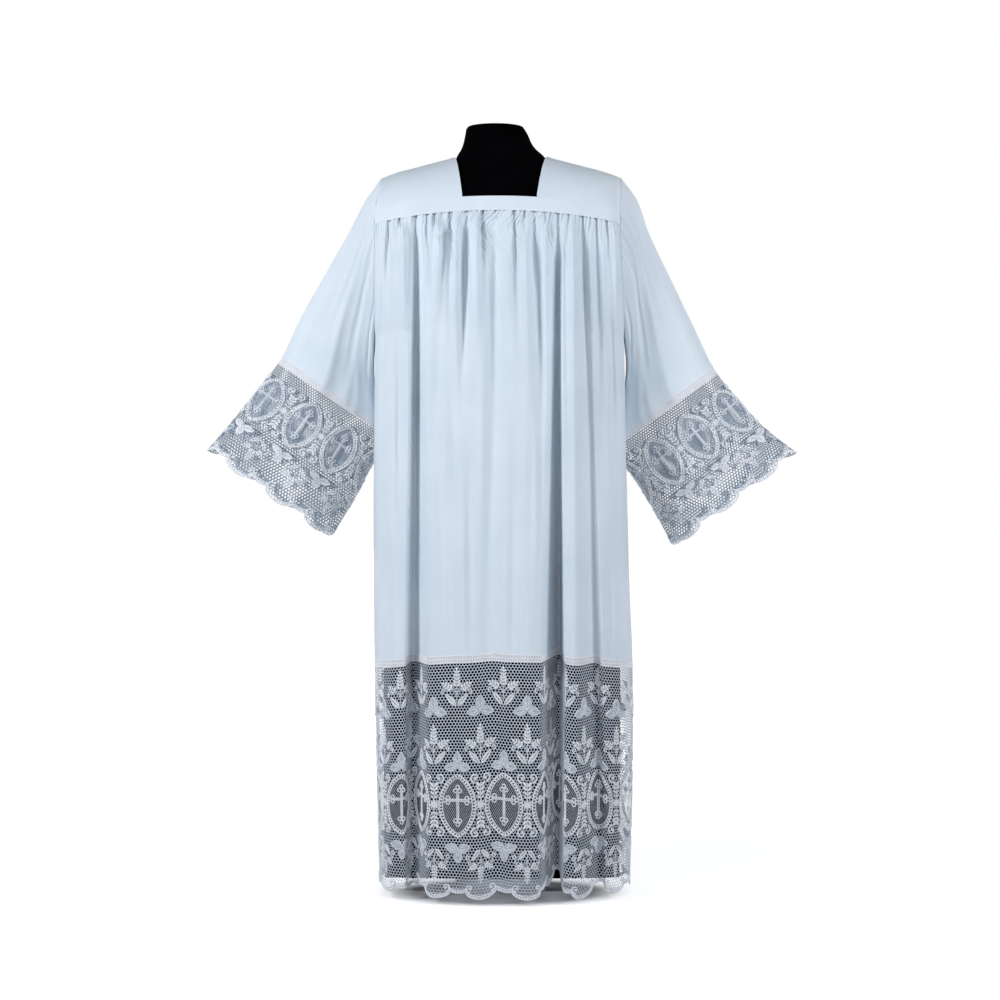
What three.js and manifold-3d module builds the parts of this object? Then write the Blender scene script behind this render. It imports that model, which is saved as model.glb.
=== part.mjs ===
// A lace alb on a limbless dress form. Millimetres, +Z up, the front faces -Y.
// The cloth is a set of thin walls: yoke, gathered body, wide sleeves, and lace with a scalloped edge.
import * as THREE from "three";
import { mergeVertices } from "three/addons/utils/BufferGeometryUtils.js";
import Module from "manifold-3d";

// Driving sizes
const WALL = 1.5; // cloth and lace
const SEAM_GAP = 0.3; // between two sewn pieces
const YOKE_SEAM_GAP = 0.5;
const SQUARENESS = 2.5; // exponent of the body's outline, seen from above

const NECK_POINT_HEIGHT = 1490; // where the shoulder line meets the neckline
const NECK_POINT_X = 100;
const SHOULDER_SLOPE = 0.262;
const TIP_ROUNDING_FROM = 200;
const TIP_ROUNDING = 0.002;
const RIDGE_SETBACK = 5; // the shoulder ridge lies this far behind the side seams at the neck
const RIDGE_REACH = 250; // and meets them this far from the middle
const SHOULDER_COLUMNS = 8;
const BAND_COLUMNS = 32;
const BACK_YOKE_COLUMNS = 28;

const SEAM_SIDE_HEIGHT = 1347; // yoke seam at the armhole
const UNDERARM_HEIGHT = 1130;
const ARMHOLE_HALF_DEPTH = 62;
const BAND_HEIGHT = 30; // front band under the neckline
const BAND_EDGE_ANGLE = 75; // its upper edge at the armhole, in degrees down from the ridge
const BACK_YOKE_ANGLE = 52; // where the shoulder pieces end behind, in degrees down from the ridge
const NECKLINE = { topLeft: -99, topRight: 95, frontLeft: -79, frontRight: 69, backLeft: -84, backRight: 80 };

const JOIN_HEIGHT = 458; // lower edge of the join trim, at the sides
const TRIM_HEIGHT = 15;
const HEM_HEIGHT = 18; // lowest points of the lace, at the sides
const SCALLOP_DEPTH = 16;
const SMALL_SCALLOP_DEPTH = 5;
const LARGE_SCALLOP_SHARE = 0.667; // of a repeat, the small scallop takes the rest
const COLUMNS_PER_REPEAT = 8;
const LACE_PHASE = 0.375; // the first small scallop lies this far from the left side seam, in repeats

// The body tube: its left and right edge, and its depth in front and behind, by height
const BODY = [
  { z: 1449, left: -243, right: 241, front: 112, back: 106 },
  { z: 1347, left: -254, right: 236, front: 118, back: 112 },
  { z: 1130, left: -257, right: 247, front: 128, back: 122 },
  { z: 880, left: -260, right: 252, front: 138, back: 130 },
  { z: 640, left: -260, right: 258, front: 145, back: 136 },
  { z: 458, left: -258, right: 265, front: 150, back: 142 },
  { z: 240, left: -253, right: 264, front: 154, back: 148 },
  { z: 18, left: -248, right: 259, front: 157, back: 153 },
];

// How far the seam, the join and the hem rise from the sides to the middle, and how much of a fold's lift they take
const RISE = [
  { z: 1347, rise: 22, lift: 0 },
  { z: 458, rise: 20, lift: 0.35 },
  { z: 18, rise: -5, lift: 1 },
];

// Large folds: where they start, their middle there and at the hem, half width, depth inwards, sideways lean, hem lift
const FRONT_FOLDS = [
  { start: 1352, topX: -168, hemX: -169, topHalf: 12, hemHalf: 28, depth: 60, lean: -8, lift: 14 },
  { start: 1300, topX: 108, hemX: 97, topHalf: 10, hemHalf: 27, depth: 103, lean: 14, lift: 30 },
  { start: 1340, topX: 140, hemX: 144, topHalf: 16, hemHalf: 24, depth: -13, lean: 0, lift: -4 },
  { start: 1350, topX: 160, hemX: 188, topHalf: 12, hemHalf: 24, depth: 26, lean: 6, lift: 12 },
  { start: 1300, topX: -40, hemX: -10, topHalf: 22, hemHalf: 34, depth: 10, lean: 0, lift: 4 },
  { start: 1250, topX: 40, hemX: 50, topHalf: 22, hemHalf: 30, depth: -8, lean: 0, lift: 0 },
  { start: 1250, topX: -90, hemX: -62, topHalf: 18, hemHalf: 28, depth: -7, lean: 0, lift: 0 },
  { start: 1300, topX: -215, hemX: -222, topHalf: 16, hemHalf: 22, depth: -8, lean: 0, lift: 0 },
];
const BACK_FOLDS = [
  { start: 1340, topX: -150, hemX: -158, topHalf: 12, hemHalf: 28, depth: 42, lean: -8, lift: 10 },
  { start: 1320, topX: -52, hemX: -44, topHalf: 12, hemHalf: 28, depth: 52, lean: 6, lift: 14 },
  { start: 1300, topX: 12, hemX: 8, topHalf: 18, hemHalf: 24, depth: -9, lean: 0, lift: 0 },
  { start: 1350, topX: 66, hemX: 74, topHalf: 12, hemHalf: 28, depth: 46, lean: -6, lift: 12 },
  { start: 1320, topX: 160, hemX: 172, topHalf: 14, hemHalf: 28, depth: 34, lean: 6, lift: 10 },
];

const FOLD_GROWTH = 0.85; // exponent: a fold deepens quickly at first, then slowly

// Gathers under the yoke fade downwards; how far they reach swings unevenly from one to the next
const GATHER = { reach: 70, swing: 45, quick: 71, slow: 29 };

// Repeats of the lace on each half, and the one that each half starts with at its left edge.
// The lace runs to the right in front and on round the back.
const FRONT = { sign: -1, depth: "front", folds: FRONT_FOLDS, repeats: 10, firstRepeat: 0, gather: 2.6 };
const BACK = { sign: 1, depth: "back", folds: BACK_FOLDS, repeats: 9, firstRepeat: 19, gather: 2.6 };

// Rows of the body panels, as shares of the way from the yoke seam to the join
const FRONT_ROWS = [0, 0.03, 0.09, 0.18, 0.32, 0.52, 0.76, 1];
const BACK_ROWS = [0, 0.04, 0.13, 0.3, 0.52, 0.76, 1];
const LACE_ROWS = [0, 0.3, 0.6, 0.86, 1];
const SECTION_STEPS = 480;

// Sleeves: top edge, lower edge, bulge in front and behind, and where the section is widest.
// "down" is 0 at the armhole, 1 at the cuff's join and 2 at the lace's edge.
const SLEEVE_LEFT = [
  { down: 0, tx: -243, ty: 0, tz: 1449, bx: -257, by: 0, bz: 1130, front: 62, back: 62, widest: 0.68 },
  { down: 0.12, tx: -276, ty: 1, tz: 1406, bx: -262, by: 26, bz: 1078, front: 66, back: 62, widest: 0.64 },
  { down: 0.28, tx: -312, ty: 2, tz: 1338, bx: -262, by: 56, bz: 1040, front: 66, back: 62, widest: 0.58 },
  { down: 0.5, tx: -361, ty: 4, tz: 1252, bx: -257, by: 82, bz: 1005, front: 62, back: 58, widest: 0.54 },
  { down: 0.75, tx: -410, ty: 7, tz: 1165, bx: -247, by: 96, bz: 972, front: 58, back: 54, widest: 0.5 },
  { down: 1, tx: -448, ty: 10, tz: 1086, bx: -240, by: 103, bz: 940, front: 54, back: 50, widest: 0.5 },
  { down: 1.33, tx: -494, ty: 11, tz: 1027, bx: -268, by: 95, bz: 873, front: 56, back: 50, widest: 0.5 },
  { down: 1.67, tx: -543, ty: 12, tz: 965, bx: -307, by: 86, bz: 797, front: 58, back: 50, widest: 0.5 },
  { down: 2, tx: -602, ty: 14, tz: 897, bx: -356, by: 80, bz: 716, front: 60, back: 50, widest: 0.5 },
];
const SLEEVE_RIGHT = [
  { down: 0, tx: 241, ty: 0, tz: 1449, bx: 247, by: 0, bz: 1130, front: 62, back: 62, widest: 0.68 },
  { down: 0.12, tx: 274, ty: 1, tz: 1406, bx: 254, by: 26, bz: 1078, front: 66, back: 62, widest: 0.64 },
  { down: 0.28, tx: 299, ty: 2, tz: 1338, bx: 253, by: 54, bz: 1035, front: 66, back: 62, widest: 0.58 },
  { down: 0.5, tx: 340, ty: 4, tz: 1252, bx: 244, by: 78, bz: 995, front: 62, back: 58, widest: 0.54 },
  { down: 0.75, tx: 385, ty: 7, tz: 1159, bx: 235, by: 90, bz: 955, front: 58, back: 54, widest: 0.5 },
  { down: 1, tx: 430, ty: 10, tz: 1066, bx: 226, by: 97, bz: 912, front: 54, back: 50, widest: 0.5 },
  { down: 1.33, tx: 479, ty: 11, tz: 1004, bx: 270, by: 92, bz: 848, front: 56, back: 50, widest: 0.5 },
  { down: 1.67, tx: 533, ty: 12, tz: 945, bx: 315, by: 86, bz: 775, front: 58, back: 50, widest: 0.5 },
  { down: 2, tx: 602, ty: 14, tz: 892, bx: 356, by: 80, bz: 697, front: 60, back: 50, widest: 0.5 },
];
// Soft folds along a sleeve: angle from the top edge, half width in degrees, depth, and the stretch they run over
const SLEEVE_FOLDS = [
  { angle: 48, half: 18, depth: 6, from: 0, to: 1.1 },
  { angle: 84, half: 16, depth: 8, from: 0.05, to: 2.4 },
  { angle: 116, half: 18, depth: 7, from: 0.3, to: 2.6 },
  { angle: 236, half: 20, depth: 7, from: 0.2, to: 2.4 },
  { angle: 290, half: 22, depth: 8, from: 0, to: 2 },
];
const SLEEVE_COLUMNS = 28;
const RING_STEPS = 180;
const SLEEVE_ROWS = [0, 0.06, 0.14, 0.28, 0.46, 0.66, 0.84, 1];
const CUFF_REPEATS = 7;
const CUFF_ROWS = [0, 0.36, 0.78, 1];
const CUFF_TRIM = 0.055; // of the way from the cuff's join to the lace's edge
const SEAM_SHARE = 0.0016; // a seam gap along a sleeve
const ARMHOLE_GAP = 0.5;
const ARMHOLE_BLEND = 0.12; // the armhole's own outline fades over this stretch

// The dress form: sides and depth by height. Its armholes end in flat plates.
const FORM_CLEARANCE = 0.4;
const FORM_FRONT_EASE = 12;
const FORM_TIP_INSET = 8;
const FORM_COLUMNS = 16;
const BASE_THICKNESS = 30;
const FORM_LEVELS = [0, 15, 30, 45, 60, 75, 90]; // degrees down from the shoulder ridge
const FORM = [
  { z: 1346, left: -246, right: 228, front: 106, back: 100, plate: 50 },
  { z: 1240, left: -244, right: 232, front: 96, back: 98, plate: 44 },
  { z: 1130, left: -234, right: 228, front: 88, back: 96, plate: 4 },
  { z: 1000, left: -214, right: 208, front: 72, back: 84, plate: 2 },
  { z: 880, left: -216, right: 212, front: 56, back: 78, plate: 2 },
  { z: 700, left: -232, right: 232, front: 42, back: 80, plate: 2 },
  { z: 458, left: -240, right: 240, front: 24, back: 76, plate: 2 },
  { z: 240, left: -240, right: 240, front: 22, back: 76, plate: 2 },
  { z: BASE_THICKNESS + SEAM_GAP, left: -238, right: 238, front: 22, back: 76, plate: 2 },
];
const NECK = [
  { z: 1440, left: -98, right: 92, depth: 74 },
  { z: 1486, left: -94, right: 89, depth: 66 },
  { z: 1496, left: -91, right: 84, depth: 62 },
  { z: 1507, left: -84, right: 71, depth: 59 },
  { z: 1520, left: -79, right: 61, depth: 56 },
  { z: 1538, left: -75, right: 53, depth: 54 },
  { z: 1550, left: -73, right: 46, depth: 53 },
];
const NECK_SIDES = 32;
const CAP_THICKNESS = 4;
const CAP_INSET = 2;
const BASE_HALF_WIDTH = 95;
const BASE_HALF_DEPTH = 56;
const BASE_BEVEL = 3;
const RIM_BEVEL = 1; // of the cap
const BASE_SIDES = 40;

// What moves the whole part so that the origin lies under the middle of its box
const ORIGIN = { x: 0.1, y: 1.2 };

const degrees = THREE.MathUtils.degToRad;
const mix = THREE.MathUtils.lerp;
const clamp = THREE.MathUtils.clamp;
const wasm = await Module();
wasm.setup();

// A column of a table at a place between its rows, on a smooth curve through them
function column(table, name, key, at) {
  let low = 0;
  while (low < table.length - 2 && (at - table[low + 1][key]) * (table[1][key] - table[0][key]) > 0) low += 1;
  const slope = (row) => {
    const before = table[Math.max(row - 1, 0)];
    const after = table[Math.min(row + 1, table.length - 1)];
    return (after[name] - before[name]) / (after[key] - before[key]);
  };
  const span = table[low + 1][key] - table[low][key];
  const t = clamp((at - table[low][key]) / span, 0, 1);
  const start = (2 * t ** 3 - 3 * t ** 2 + 1) * table[low][name];
  const end = (3 * t ** 2 - 2 * t ** 3) * table[low + 1][name];
  const startTurn = (t ** 3 - 2 * t ** 2 + t) * span * slope(low);
  const endTurn = (t ** 3 - t ** 2) * span * slope(low + 1);
  return start + end + startTurn + endTurn;
}

// Across the body at a height: 0 in the middle, -1 and 1 at the side edges
function across(x, z) {
  const left = column(BODY, "left", "z", z);
  const right = column(BODY, "right", "z", z);
  return clamp((2 * x - left - right) / (right - left), -1, 1);
}

// Half depth of the armhole by height, none under the arm
function armholeHalf(z) {
  const below = clamp((SEAM_SIDE_HEIGHT - z) / (SEAM_SIDE_HEIGHT - UNDERARM_HEIGHT), 0, 1);
  return Math.max(ARMHOLE_HALF_DEPTH * Math.sqrt(1 - below ** 2), SEAM_GAP / 2);
}

// One hump, 1 in the middle and 0 past its half width
function hump(distance, half) {
  const t = clamp(Math.abs(distance / half), 0, 1);
  return (1 + Math.cos(Math.PI * t)) / 2;
}

// What the folds do at a place: how far inwards, how far sideways, and how far up at the hem
function folded(face, x, z) {
  const moved = { inwards: 0, aside: 0, lift: 0 };
  for (const fold of face.folds) {
    const grown = clamp((fold.start - z) / (fold.start - JOIN_HEIGHT), 0, 1) ** FOLD_GROWTH;
    const down = clamp((fold.start - z) / fold.start, 0, 1);
    const shape = hump(x - mix(fold.topX, fold.hemX, down), mix(fold.topHalf, fold.hemHalf, grown));
    moved.inwards += fold.depth * grown * shape;
    moved.aside += fold.lean * grown * shape;
    moved.lift += fold.lift * shape;
  }
  return moved;
}

// The cloth's line at a height, with its running length, from the left side to the right one
function sectionLine(face, z) {
  const left = column(BODY, "left", "z", z);
  const right = column(BODY, "right", "z", z);
  const depth = column(BODY, face.depth, "z", z);
  const edge = armholeHalf(z);
  const line = [];
  let length = 0;
  for (let step = 0; step <= SECTION_STEPS; step += 1) {
    const turn = Math.PI * (step / SECTION_STEPS - 0.5);
    const aside = Math.sign(turn) * Math.abs(Math.sin(turn)) ** (2 / SQUARENESS);
    const out = Math.abs(Math.cos(turn)) ** (2 / SQUARENESS);
    const x = (left + right + aside * (right - left)) / 2;
    const moved = folded(face, x, z);
    const y = face.sign * (edge + (depth - edge) * out - moved.inwards);
    const point = { x: x + moved.aside, y, lift: moved.lift };
    if (step > 0) length += Math.hypot(point.x - line.at(-1).x, point.y - line.at(-1).y);
    line.push({ ...point, length });
  }
  return line;
}

// The point that lies at a share of a line's length, with whatever the line's points hold
function pointAtShare(line, share) {
  const wanted = share * line.at(-1).length;
  let low = 0;
  while (low < line.length - 2 && line[low + 1].length < wanted) low += 1;
  const t = (wanted - line[low].length) / (line[low + 1].length - line[low].length);
  const names = Object.keys(line[low]);
  return Object.fromEntries(names.map((name) => [name, mix(line[low][name], line[low + 1][name], t)]));
}

// Small gathers under the yoke: one ridge and one valley for every two columns, each with its own length
function gathered(face, share, z) {
  const reach = GATHER.reach + GATHER.swing * Math.sin(share * GATHER.quick) * Math.sin(share * GATHER.slow + 1);
  const waves = face.repeats * COLUMNS_PER_REPEAT / 2;
  const fade = Math.exp((z - SEAM_SIDE_HEIGHT) / reach);
  return face.gather * Math.cos(2 * Math.PI * waves * share) * fade;
}

// Edge of the lace: how far it lies above the lowest points, by repeats along it
function scallop(repeats) {
  const phase = repeats - LACE_PHASE;
  const place = Math.abs(phase - Math.floor(phase) - 0.5);
  const largeHalf = LARGE_SCALLOP_SHARE / 2;
  if (place < largeHalf) return SCALLOP_DEPTH * (1 - Math.sqrt(1 - (place / largeHalf) ** 2));
  const small = (0.5 - place) / (0.5 - largeHalf);
  return SCALLOP_DEPTH - SMALL_SCALLOP_DEPTH * Math.sqrt(1 - small ** 2);
}

// One row of a body wall at a height, with the height of each point
function bodyRow(face, z, edgeShare = 0) {
  const line = sectionLine(face, z);
  const columns = face.repeats * COLUMNS_PER_REPEAT;
  const row = [];
  for (let step = 0; step <= columns; step += 1) {
    const share = step / columns;
    const point = pointAtShare(line, share);
    const middle = 1 - across(point.x, z) ** 2;
    const rise = column(RISE, "rise", "z", z) * middle + column(RISE, "lift", "z", z) * point.lift;
    const y = point.y - face.sign * gathered(face, share, z);
    const repeat = face.firstRepeat - face.sign * share * face.repeats;
    row.push(new THREE.Vector3(point.x, y, z + rise + edgeShare * scallop(repeat)));
  }
  return row;
}

// The yoke: a point over the shoulder at x, turned down from the ridge, forwards if the angle is negative
function yokePoint(x, angle, inset = 0, ease = 0) {
  const q = across(x, SEAM_SIDE_HEIGHT);
  const face = angle < 0 ? FRONT : BACK;
  const depth = column(BODY, face.depth, "z", SEAM_SIDE_HEIGHT);
  const out = (1 - Math.abs(q) ** SQUARENESS) ** (1 / SQUARENESS);
  const seamY = face.sign * (ARMHOLE_HALF_DEPTH + (depth - ARMHOLE_HALF_DEPTH) * out - ease);
  const seamZ = SEAM_SIDE_HEIGHT + RISE[0].rise * (1 - q ** 2);
  const ridgeY = RIDGE_SETBACK * (1 - Math.abs(x) / RIDGE_REACH);
  const rounding = TIP_ROUNDING * Math.max(Math.abs(x) - TIP_ROUNDING_FROM, 0) ** 2;
  const ridgeZ = NECK_POINT_HEIGHT - SHOULDER_SLOPE * (Math.abs(x) - NECK_POINT_X) - rounding - inset;
  const turn = degrees(Math.abs(angle));
  const y = mix(ridgeY, seamY, Math.sin(turn));
  return new THREE.Vector3(x, y, mix(seamZ, ridgeZ, Math.cos(turn)));
}

// Edge of an armhole on the left (side -1) or right (side 1), by angle from the ridge all round
function armholePoint(side, angle, outwards = 0) {
  const edge = (z) => column(BODY, side < 0 ? "left" : "right", "z", z) + side * outwards;
  const turn = ((angle + 180) % 360) - 180;
  const signed = -turn;
  if (Math.abs(turn) <= 90) {
    const z = yokePoint(edge(SEAM_SIDE_HEIGHT), signed).z;
    const x = edge(z);
    return yokePoint(x, signed);
  }
  const z = SEAM_SIDE_HEIGHT + (SEAM_SIDE_HEIGHT - UNDERARM_HEIGHT) * Math.cos(degrees(turn));
  return new THREE.Vector3(edge(z), -Math.sign(turn) * armholeHalf(z), z);
}

// Angle down from the ridge at which the front band's upper edge lies
function bandAngle(x) {
  const ridge = yokePoint(x, 0).z;
  const seam = yokePoint(x, -90).z;
  return THREE.MathUtils.radToDeg(Math.acos(BAND_HEIGHT / (ridge - seam)));
}

// Side edges of the yoke at an angle: the armhole on one side of the body
function yokeEdge(side, angle) {
  return armholePoint(side, angle < 0 ? -angle : 360 - angle).x;
}

// A closed wall from its outer grid: rows of points, inner points moved back along the normals.
// "outwards" gives a rough way out at a point, and "seamPlane" the normal of the plane that a row stays in.
function wall(rows, { outwards, seamPlane = () => null, closed = false }) {
  const high = rows.length;
  const wide = rows[0].length;
  const at = (i, j) => rows[clamp(i, 0, high - 1)][closed ? (j + wide) % wide : clamp(j, 0, wide - 1)];
  const inner = rows.map((row, i) =>
    row.map((point, j) => {
      const along = at(i, j + 1).clone().sub(at(i, j - 1));
      const down = at(i + 1, j).clone().sub(at(i - 1, j));
      const normal = along.cross(down).normalize();
      if (normal.dot(outwards(point, row)) < 0) normal.negate();
      const plane = seamPlane(i);
      if (plane) normal.addScaledVector(plane, -normal.dot(plane)).normalize();
      return point.clone().addScaledVector(normal, -WALL);
    }),
  );
  const positions = [...rows.flat(), ...inner.flat()].flatMap((point) => point.toArray());
  const index = [];
  const outerId = (i, j) => i * wide + (j % wide);
  const innerId = (i, j) => high * wide + outerId(i, j);
  const quad = (a, b, c, d) => index.push(a, b, c, a, c, d);
  const lastColumn = closed ? wide : wide - 1;
  for (let i = 0; i < high - 1; i += 1) {
    for (let j = 0; j < lastColumn; j += 1) {
      quad(outerId(i, j), outerId(i + 1, j), outerId(i + 1, j + 1), outerId(i, j + 1));
      quad(innerId(i, j), innerId(i, j + 1), innerId(i + 1, j + 1), innerId(i + 1, j));
    }
    if (!closed) {
      quad(outerId(i, 0), innerId(i, 0), innerId(i + 1, 0), outerId(i + 1, 0));
      quad(outerId(i, wide - 1), outerId(i + 1, wide - 1), innerId(i + 1, wide - 1), innerId(i, wide - 1));
    }
  }
  for (let j = 0; j < lastColumn; j += 1) {
    quad(outerId(0, j), outerId(0, j + 1), innerId(0, j + 1), innerId(0, j));
    quad(outerId(high - 1, j), innerId(high - 1, j), innerId(high - 1, j + 1), outerId(high - 1, j + 1));
  }
  return facingOut(positions, index);
}

// A geometry whose faces point outwards, turned round if its volume is negative
function facingOut(positions, index) {
  const geometry = new THREE.BufferGeometry();
  geometry.setAttribute("position", new THREE.Float32BufferAttribute(positions, 3));
  const [a, b, c] = [new THREE.Vector3(), new THREE.Vector3(), new THREE.Vector3()];
  const place = geometry.getAttribute("position");
  let volume = 0;
  for (let i = 0; i < index.length; i += 3) {
    a.fromBufferAttribute(place, index[i]);
    b.fromBufferAttribute(place, index[i + 1]);
    c.fromBufferAttribute(place, index[i + 2]);
    volume += a.dot(b.cross(c));
  }
  if (volume < 0) index.reverse();
  geometry.setIndex(index);
  return geometry;
}

// A solid through closed rings, from the lowest up, capped at both ends where they have an area
function loft(rings, capTop = true) {
  const wide = rings[0].length;
  const positions = rings.flat().flatMap((point) => point.toArray());
  const index = [];
  for (let i = 0; i < rings.length - 1; i += 1) {
    for (let j = 0; j < wide; j += 1) {
      const [a, b] = [i * wide + j, i * wide + ((j + 1) % wide)];
      index.push(a, b, b + wide, a, b + wide, a + wide);
    }
  }
  for (let j = 1; j < wide - 1; j += 1) {
    index.push(0, j + 1, j);
    const top = (rings.length - 1) * wide;
    if (capTop) index.push(top, top + j, top + j + 1);
  }
  return facingOut(positions, index);
}

// The same geometry as a manifold solid, without triangles that have closed to a line
function toSolid(geometry) {
  const merged = mergeVertices(geometry, 1e-3);
  const source = merged.index.array;
  const kept = [];
  for (let i = 0; i < source.length; i += 3) {
    const [a, b, c] = [source[i], source[i + 1], source[i + 2]];
    if (a !== b && b !== c && c !== a) kept.push(a, b, c);
  }
  const vertProperties = merged.getAttribute("position").array;
  return new wasm.Manifold(new wasm.Mesh({ numProp: 3, vertProperties, triVerts: new Uint32Array(kept) }));
}

function fromSolid(solid) {
  const mesh = solid.getMesh();
  const geometry = new THREE.BufferGeometry();
  geometry.setAttribute("position", new THREE.Float32BufferAttribute(mesh.vertProperties, 3));
  geometry.setIndex(Array.from(mesh.triVerts));
  return geometry;
}

const level = new THREE.Vector3(0, 0, 1);
// Rough ways out: mostly forwards or back on the body, and away from the chest on the yoke
const BODY_SIDEWAYS = 0.3;
const YOKE_SIDEWAYS = 0.1;
const CHEST_HEIGHT = 1300;
const bodyWall = {
  outwards: (point) => new THREE.Vector3(point.x * BODY_SIDEWAYS, point.y, 0),
  seamPlane: () => level,
};
const yokeWall = {
  outwards: (point) => new THREE.Vector3(point.x * YOKE_SIDEWAYS, point.y, point.z - CHEST_HEIGHT),
};

// Body panel between the yoke seam and the join trim
function bodyPanel(face, shares) {
  const top = SEAM_SIDE_HEIGHT - YOKE_SEAM_GAP;
  const bottom = JOIN_HEIGHT + TRIM_HEIGHT + SEAM_GAP;
  const rows = shares.map((share) => bodyRow(face, mix(top, bottom, share)));
  return wall(rows, bodyWall);
}

function joinTrim(face) {
  return wall([bodyRow(face, JOIN_HEIGHT + TRIM_HEIGHT), bodyRow(face, JOIN_HEIGHT)], bodyWall);
}

// Lace between the join trim and the scalloped hem
function laceFlounce(face) {
  const rows = LACE_ROWS.map((share) =>
    bodyRow(face, mix(JOIN_HEIGHT - SEAM_GAP, HEM_HEIGHT, share), share ** 4),
  );
  return wall(rows, bodyWall);
}

// Shoulder piece from the neckline to the armhole, over the ridge from the front band to the back yoke
function shoulderPiece(side) {
  const name = side < 0 ? "Left" : "Right";
  const angles = ["front", -60, -45, -30, -15, 0, 15, 30, 45, BACK_YOKE_ANGLE];
  const rows = angles.map((named) => {
    const row = [];
    for (let step = 0; step <= SHOULDER_COLUMNS; step += 1) {
      const neckEnd = named === "front" ? NECKLINE[`front${name}`] : necklineX(name, named);
      const roughAngle = named === "front" ? -BAND_EDGE_ANGLE : named;
      const x = mix(neckEnd, yokeEdge(side, roughAngle), Math.sin((Math.PI / 2) * (step / SHOULDER_COLUMNS)));
      row.push(yokePoint(x, named === "front" ? -bandAngle(x) : named));
    }
    return row;
  });
  return wall(rows, yokeWall);
}

// Neckline edge of a shoulder piece at an angle
function necklineX(name, angle) {
  const end = angle < 0 ? NECKLINE[`front${name}`] : NECKLINE[`back${name}`];
  const reach = Math.abs(angle) / (angle < 0 ? BAND_EDGE_ANGLE : BACK_YOKE_ANGLE);
  return mix(NECKLINE[`top${name}`], end, reach);
}

// A band of the yoke across the whole width, between two angles for each x
function yokeBand(columns, angleRows) {
  const rows = angleRows.map(({ edgeAngle, angleAt }) => {
    const left = yokeEdge(-1, edgeAngle);
    const right = yokeEdge(1, edgeAngle);
    const row = [];
    for (let step = 0; step <= columns; step += 1) {
      const aside = Math.sin(Math.PI * (step / columns - 0.5));
      const x = (left + right + aside * (right - left)) / 2;
      row.push(yokePoint(x, angleAt(x)));
    }
    return row;
  });
  return wall(rows, yokeWall);
}

const GAP_ANGLE = 0.5; // a seam gap over the shoulder, in degrees
const frontBand = () =>
  yokeBand(BAND_COLUMNS, [
    { edgeAngle: -BAND_EDGE_ANGLE, angleAt: (x) => -bandAngle(x) - GAP_ANGLE },
    { edgeAngle: -90, angleAt: () => -90 },
  ]);
const backYoke = () =>
  yokeBand(
    BACK_YOKE_COLUMNS,
    [BACK_YOKE_ANGLE + GAP_ANGLE, 65, 78, 90].map((angle) => ({ edgeAngle: angle, angleAt: () => angle })),
  );

// The frame of a sleeve's section: its edges, its widest place, and the ways along, ahead and down the sleeve
function sleeveSection(table, down) {
  const value = (name) => column(table, name, "down", down);
  const top = new THREE.Vector3(value("tx"), value("ty"), value("tz"));
  const low = new THREE.Vector3(value("bx"), value("by"), value("bz"));
  const spine = top.clone().sub(low).normalize();
  const ahead = new THREE.Vector3(0, -1, 0);
  ahead.addScaledVector(spine, -ahead.dot(spine)).normalize();
  const axis = spine.clone().cross(ahead).normalize();
  if (axis.z > 0) axis.negate();
  const middle = low.clone().lerp(top, value("widest"));
  return { top, low, middle, ahead, axis, front: value("front"), back: value("back") };
}

// A point of a sleeve: angle from the top edge, forwards first, and how far down
function sleevePoint(table, side, angle, down) {
  const section = sleeveSection(table, down);
  const turn = degrees(angle);
  let bulge = angle < 180 ? section.front : section.back;
  for (const fold of SLEEVE_FOLDS) {
    const run = clamp((down - fold.from) / (fold.to - fold.from), 0, 1);
    bulge -= fold.depth * hump(angle - fold.angle, fold.half) * Math.sin(Math.PI * run);
  }
  const point = section.middle.clone();
  point.lerp(Math.cos(turn) > 0 ? section.top : section.low, Math.abs(Math.cos(turn)));
  point.addScaledVector(section.ahead, bulge * Math.sin(turn));
  const open = clamp(down / ARMHOLE_BLEND, 0, 1);
  return armholePoint(side, angle, ARMHOLE_GAP).lerp(point, open * open * (3 - 2 * open));
}

// The cloth's line round a sleeve, with its running length, from the top edge forwards
function ringLine(table, side, down) {
  const line = [];
  let length = 0;
  for (let step = 0; step <= RING_STEPS; step += 1) {
    const point = sleevePoint(table, side, ((step % RING_STEPS) / RING_STEPS) * 360, down);
    if (step > 0) length += point.distanceTo(line.at(-1));
    line.push(Object.assign(point, { length }));
  }
  return line.map(({ x, y, z, length: run }) => ({ x, y, z, length: run }));
}

function sleeveWall(table, side, columns, downs, lift = () => 0) {
  const rows = downs.map((down, i) => {
    const line = ringLine(table, side, down);
    const { axis } = sleeveSection(table, down);
    const row = [];
    for (let step = 0; step < columns; step += 1) {
      const { x, y, z } = pointAtShare(line, step / columns);
      row.push(new THREE.Vector3(x, y, z).addScaledVector(axis, -lift(i, step)));
    }
    return row;
  });
  const middleOf = (row) => row.reduce((sum, point) => sum.add(point), new THREE.Vector3()).divideScalar(row.length);
  const sideways = new THREE.Vector3(1, 0, 0);
  return wall(rows, {
    outwards: (point, row) => point.clone().sub(middleOf(row)),
    seamPlane: (i) => (downs[i] === 0 ? sideways : sleeveSection(table, downs[i]).axis),
    closed: true,
  });
}

const sleeve = (table, side) => sleeveWall(table, side, SLEEVE_COLUMNS, SLEEVE_ROWS.map((d) => d * (1 - SEAM_SHARE)));
const cuffTrim = (table, side) => sleeveWall(table, side, SLEEVE_COLUMNS, [1, 1 + CUFF_TRIM - SEAM_SHARE]);
const cuffLace = (table, side) =>
  sleeveWall(
    table,
    side,
    CUFF_REPEATS * COLUMNS_PER_REPEAT,
    CUFF_ROWS.map((share) => mix(1 + CUFF_TRIM, 2, share)),
    (i, step) => CUFF_ROWS[i] ** 4 * scallop(step / COLUMNS_PER_REPEAT),
  );

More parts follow.
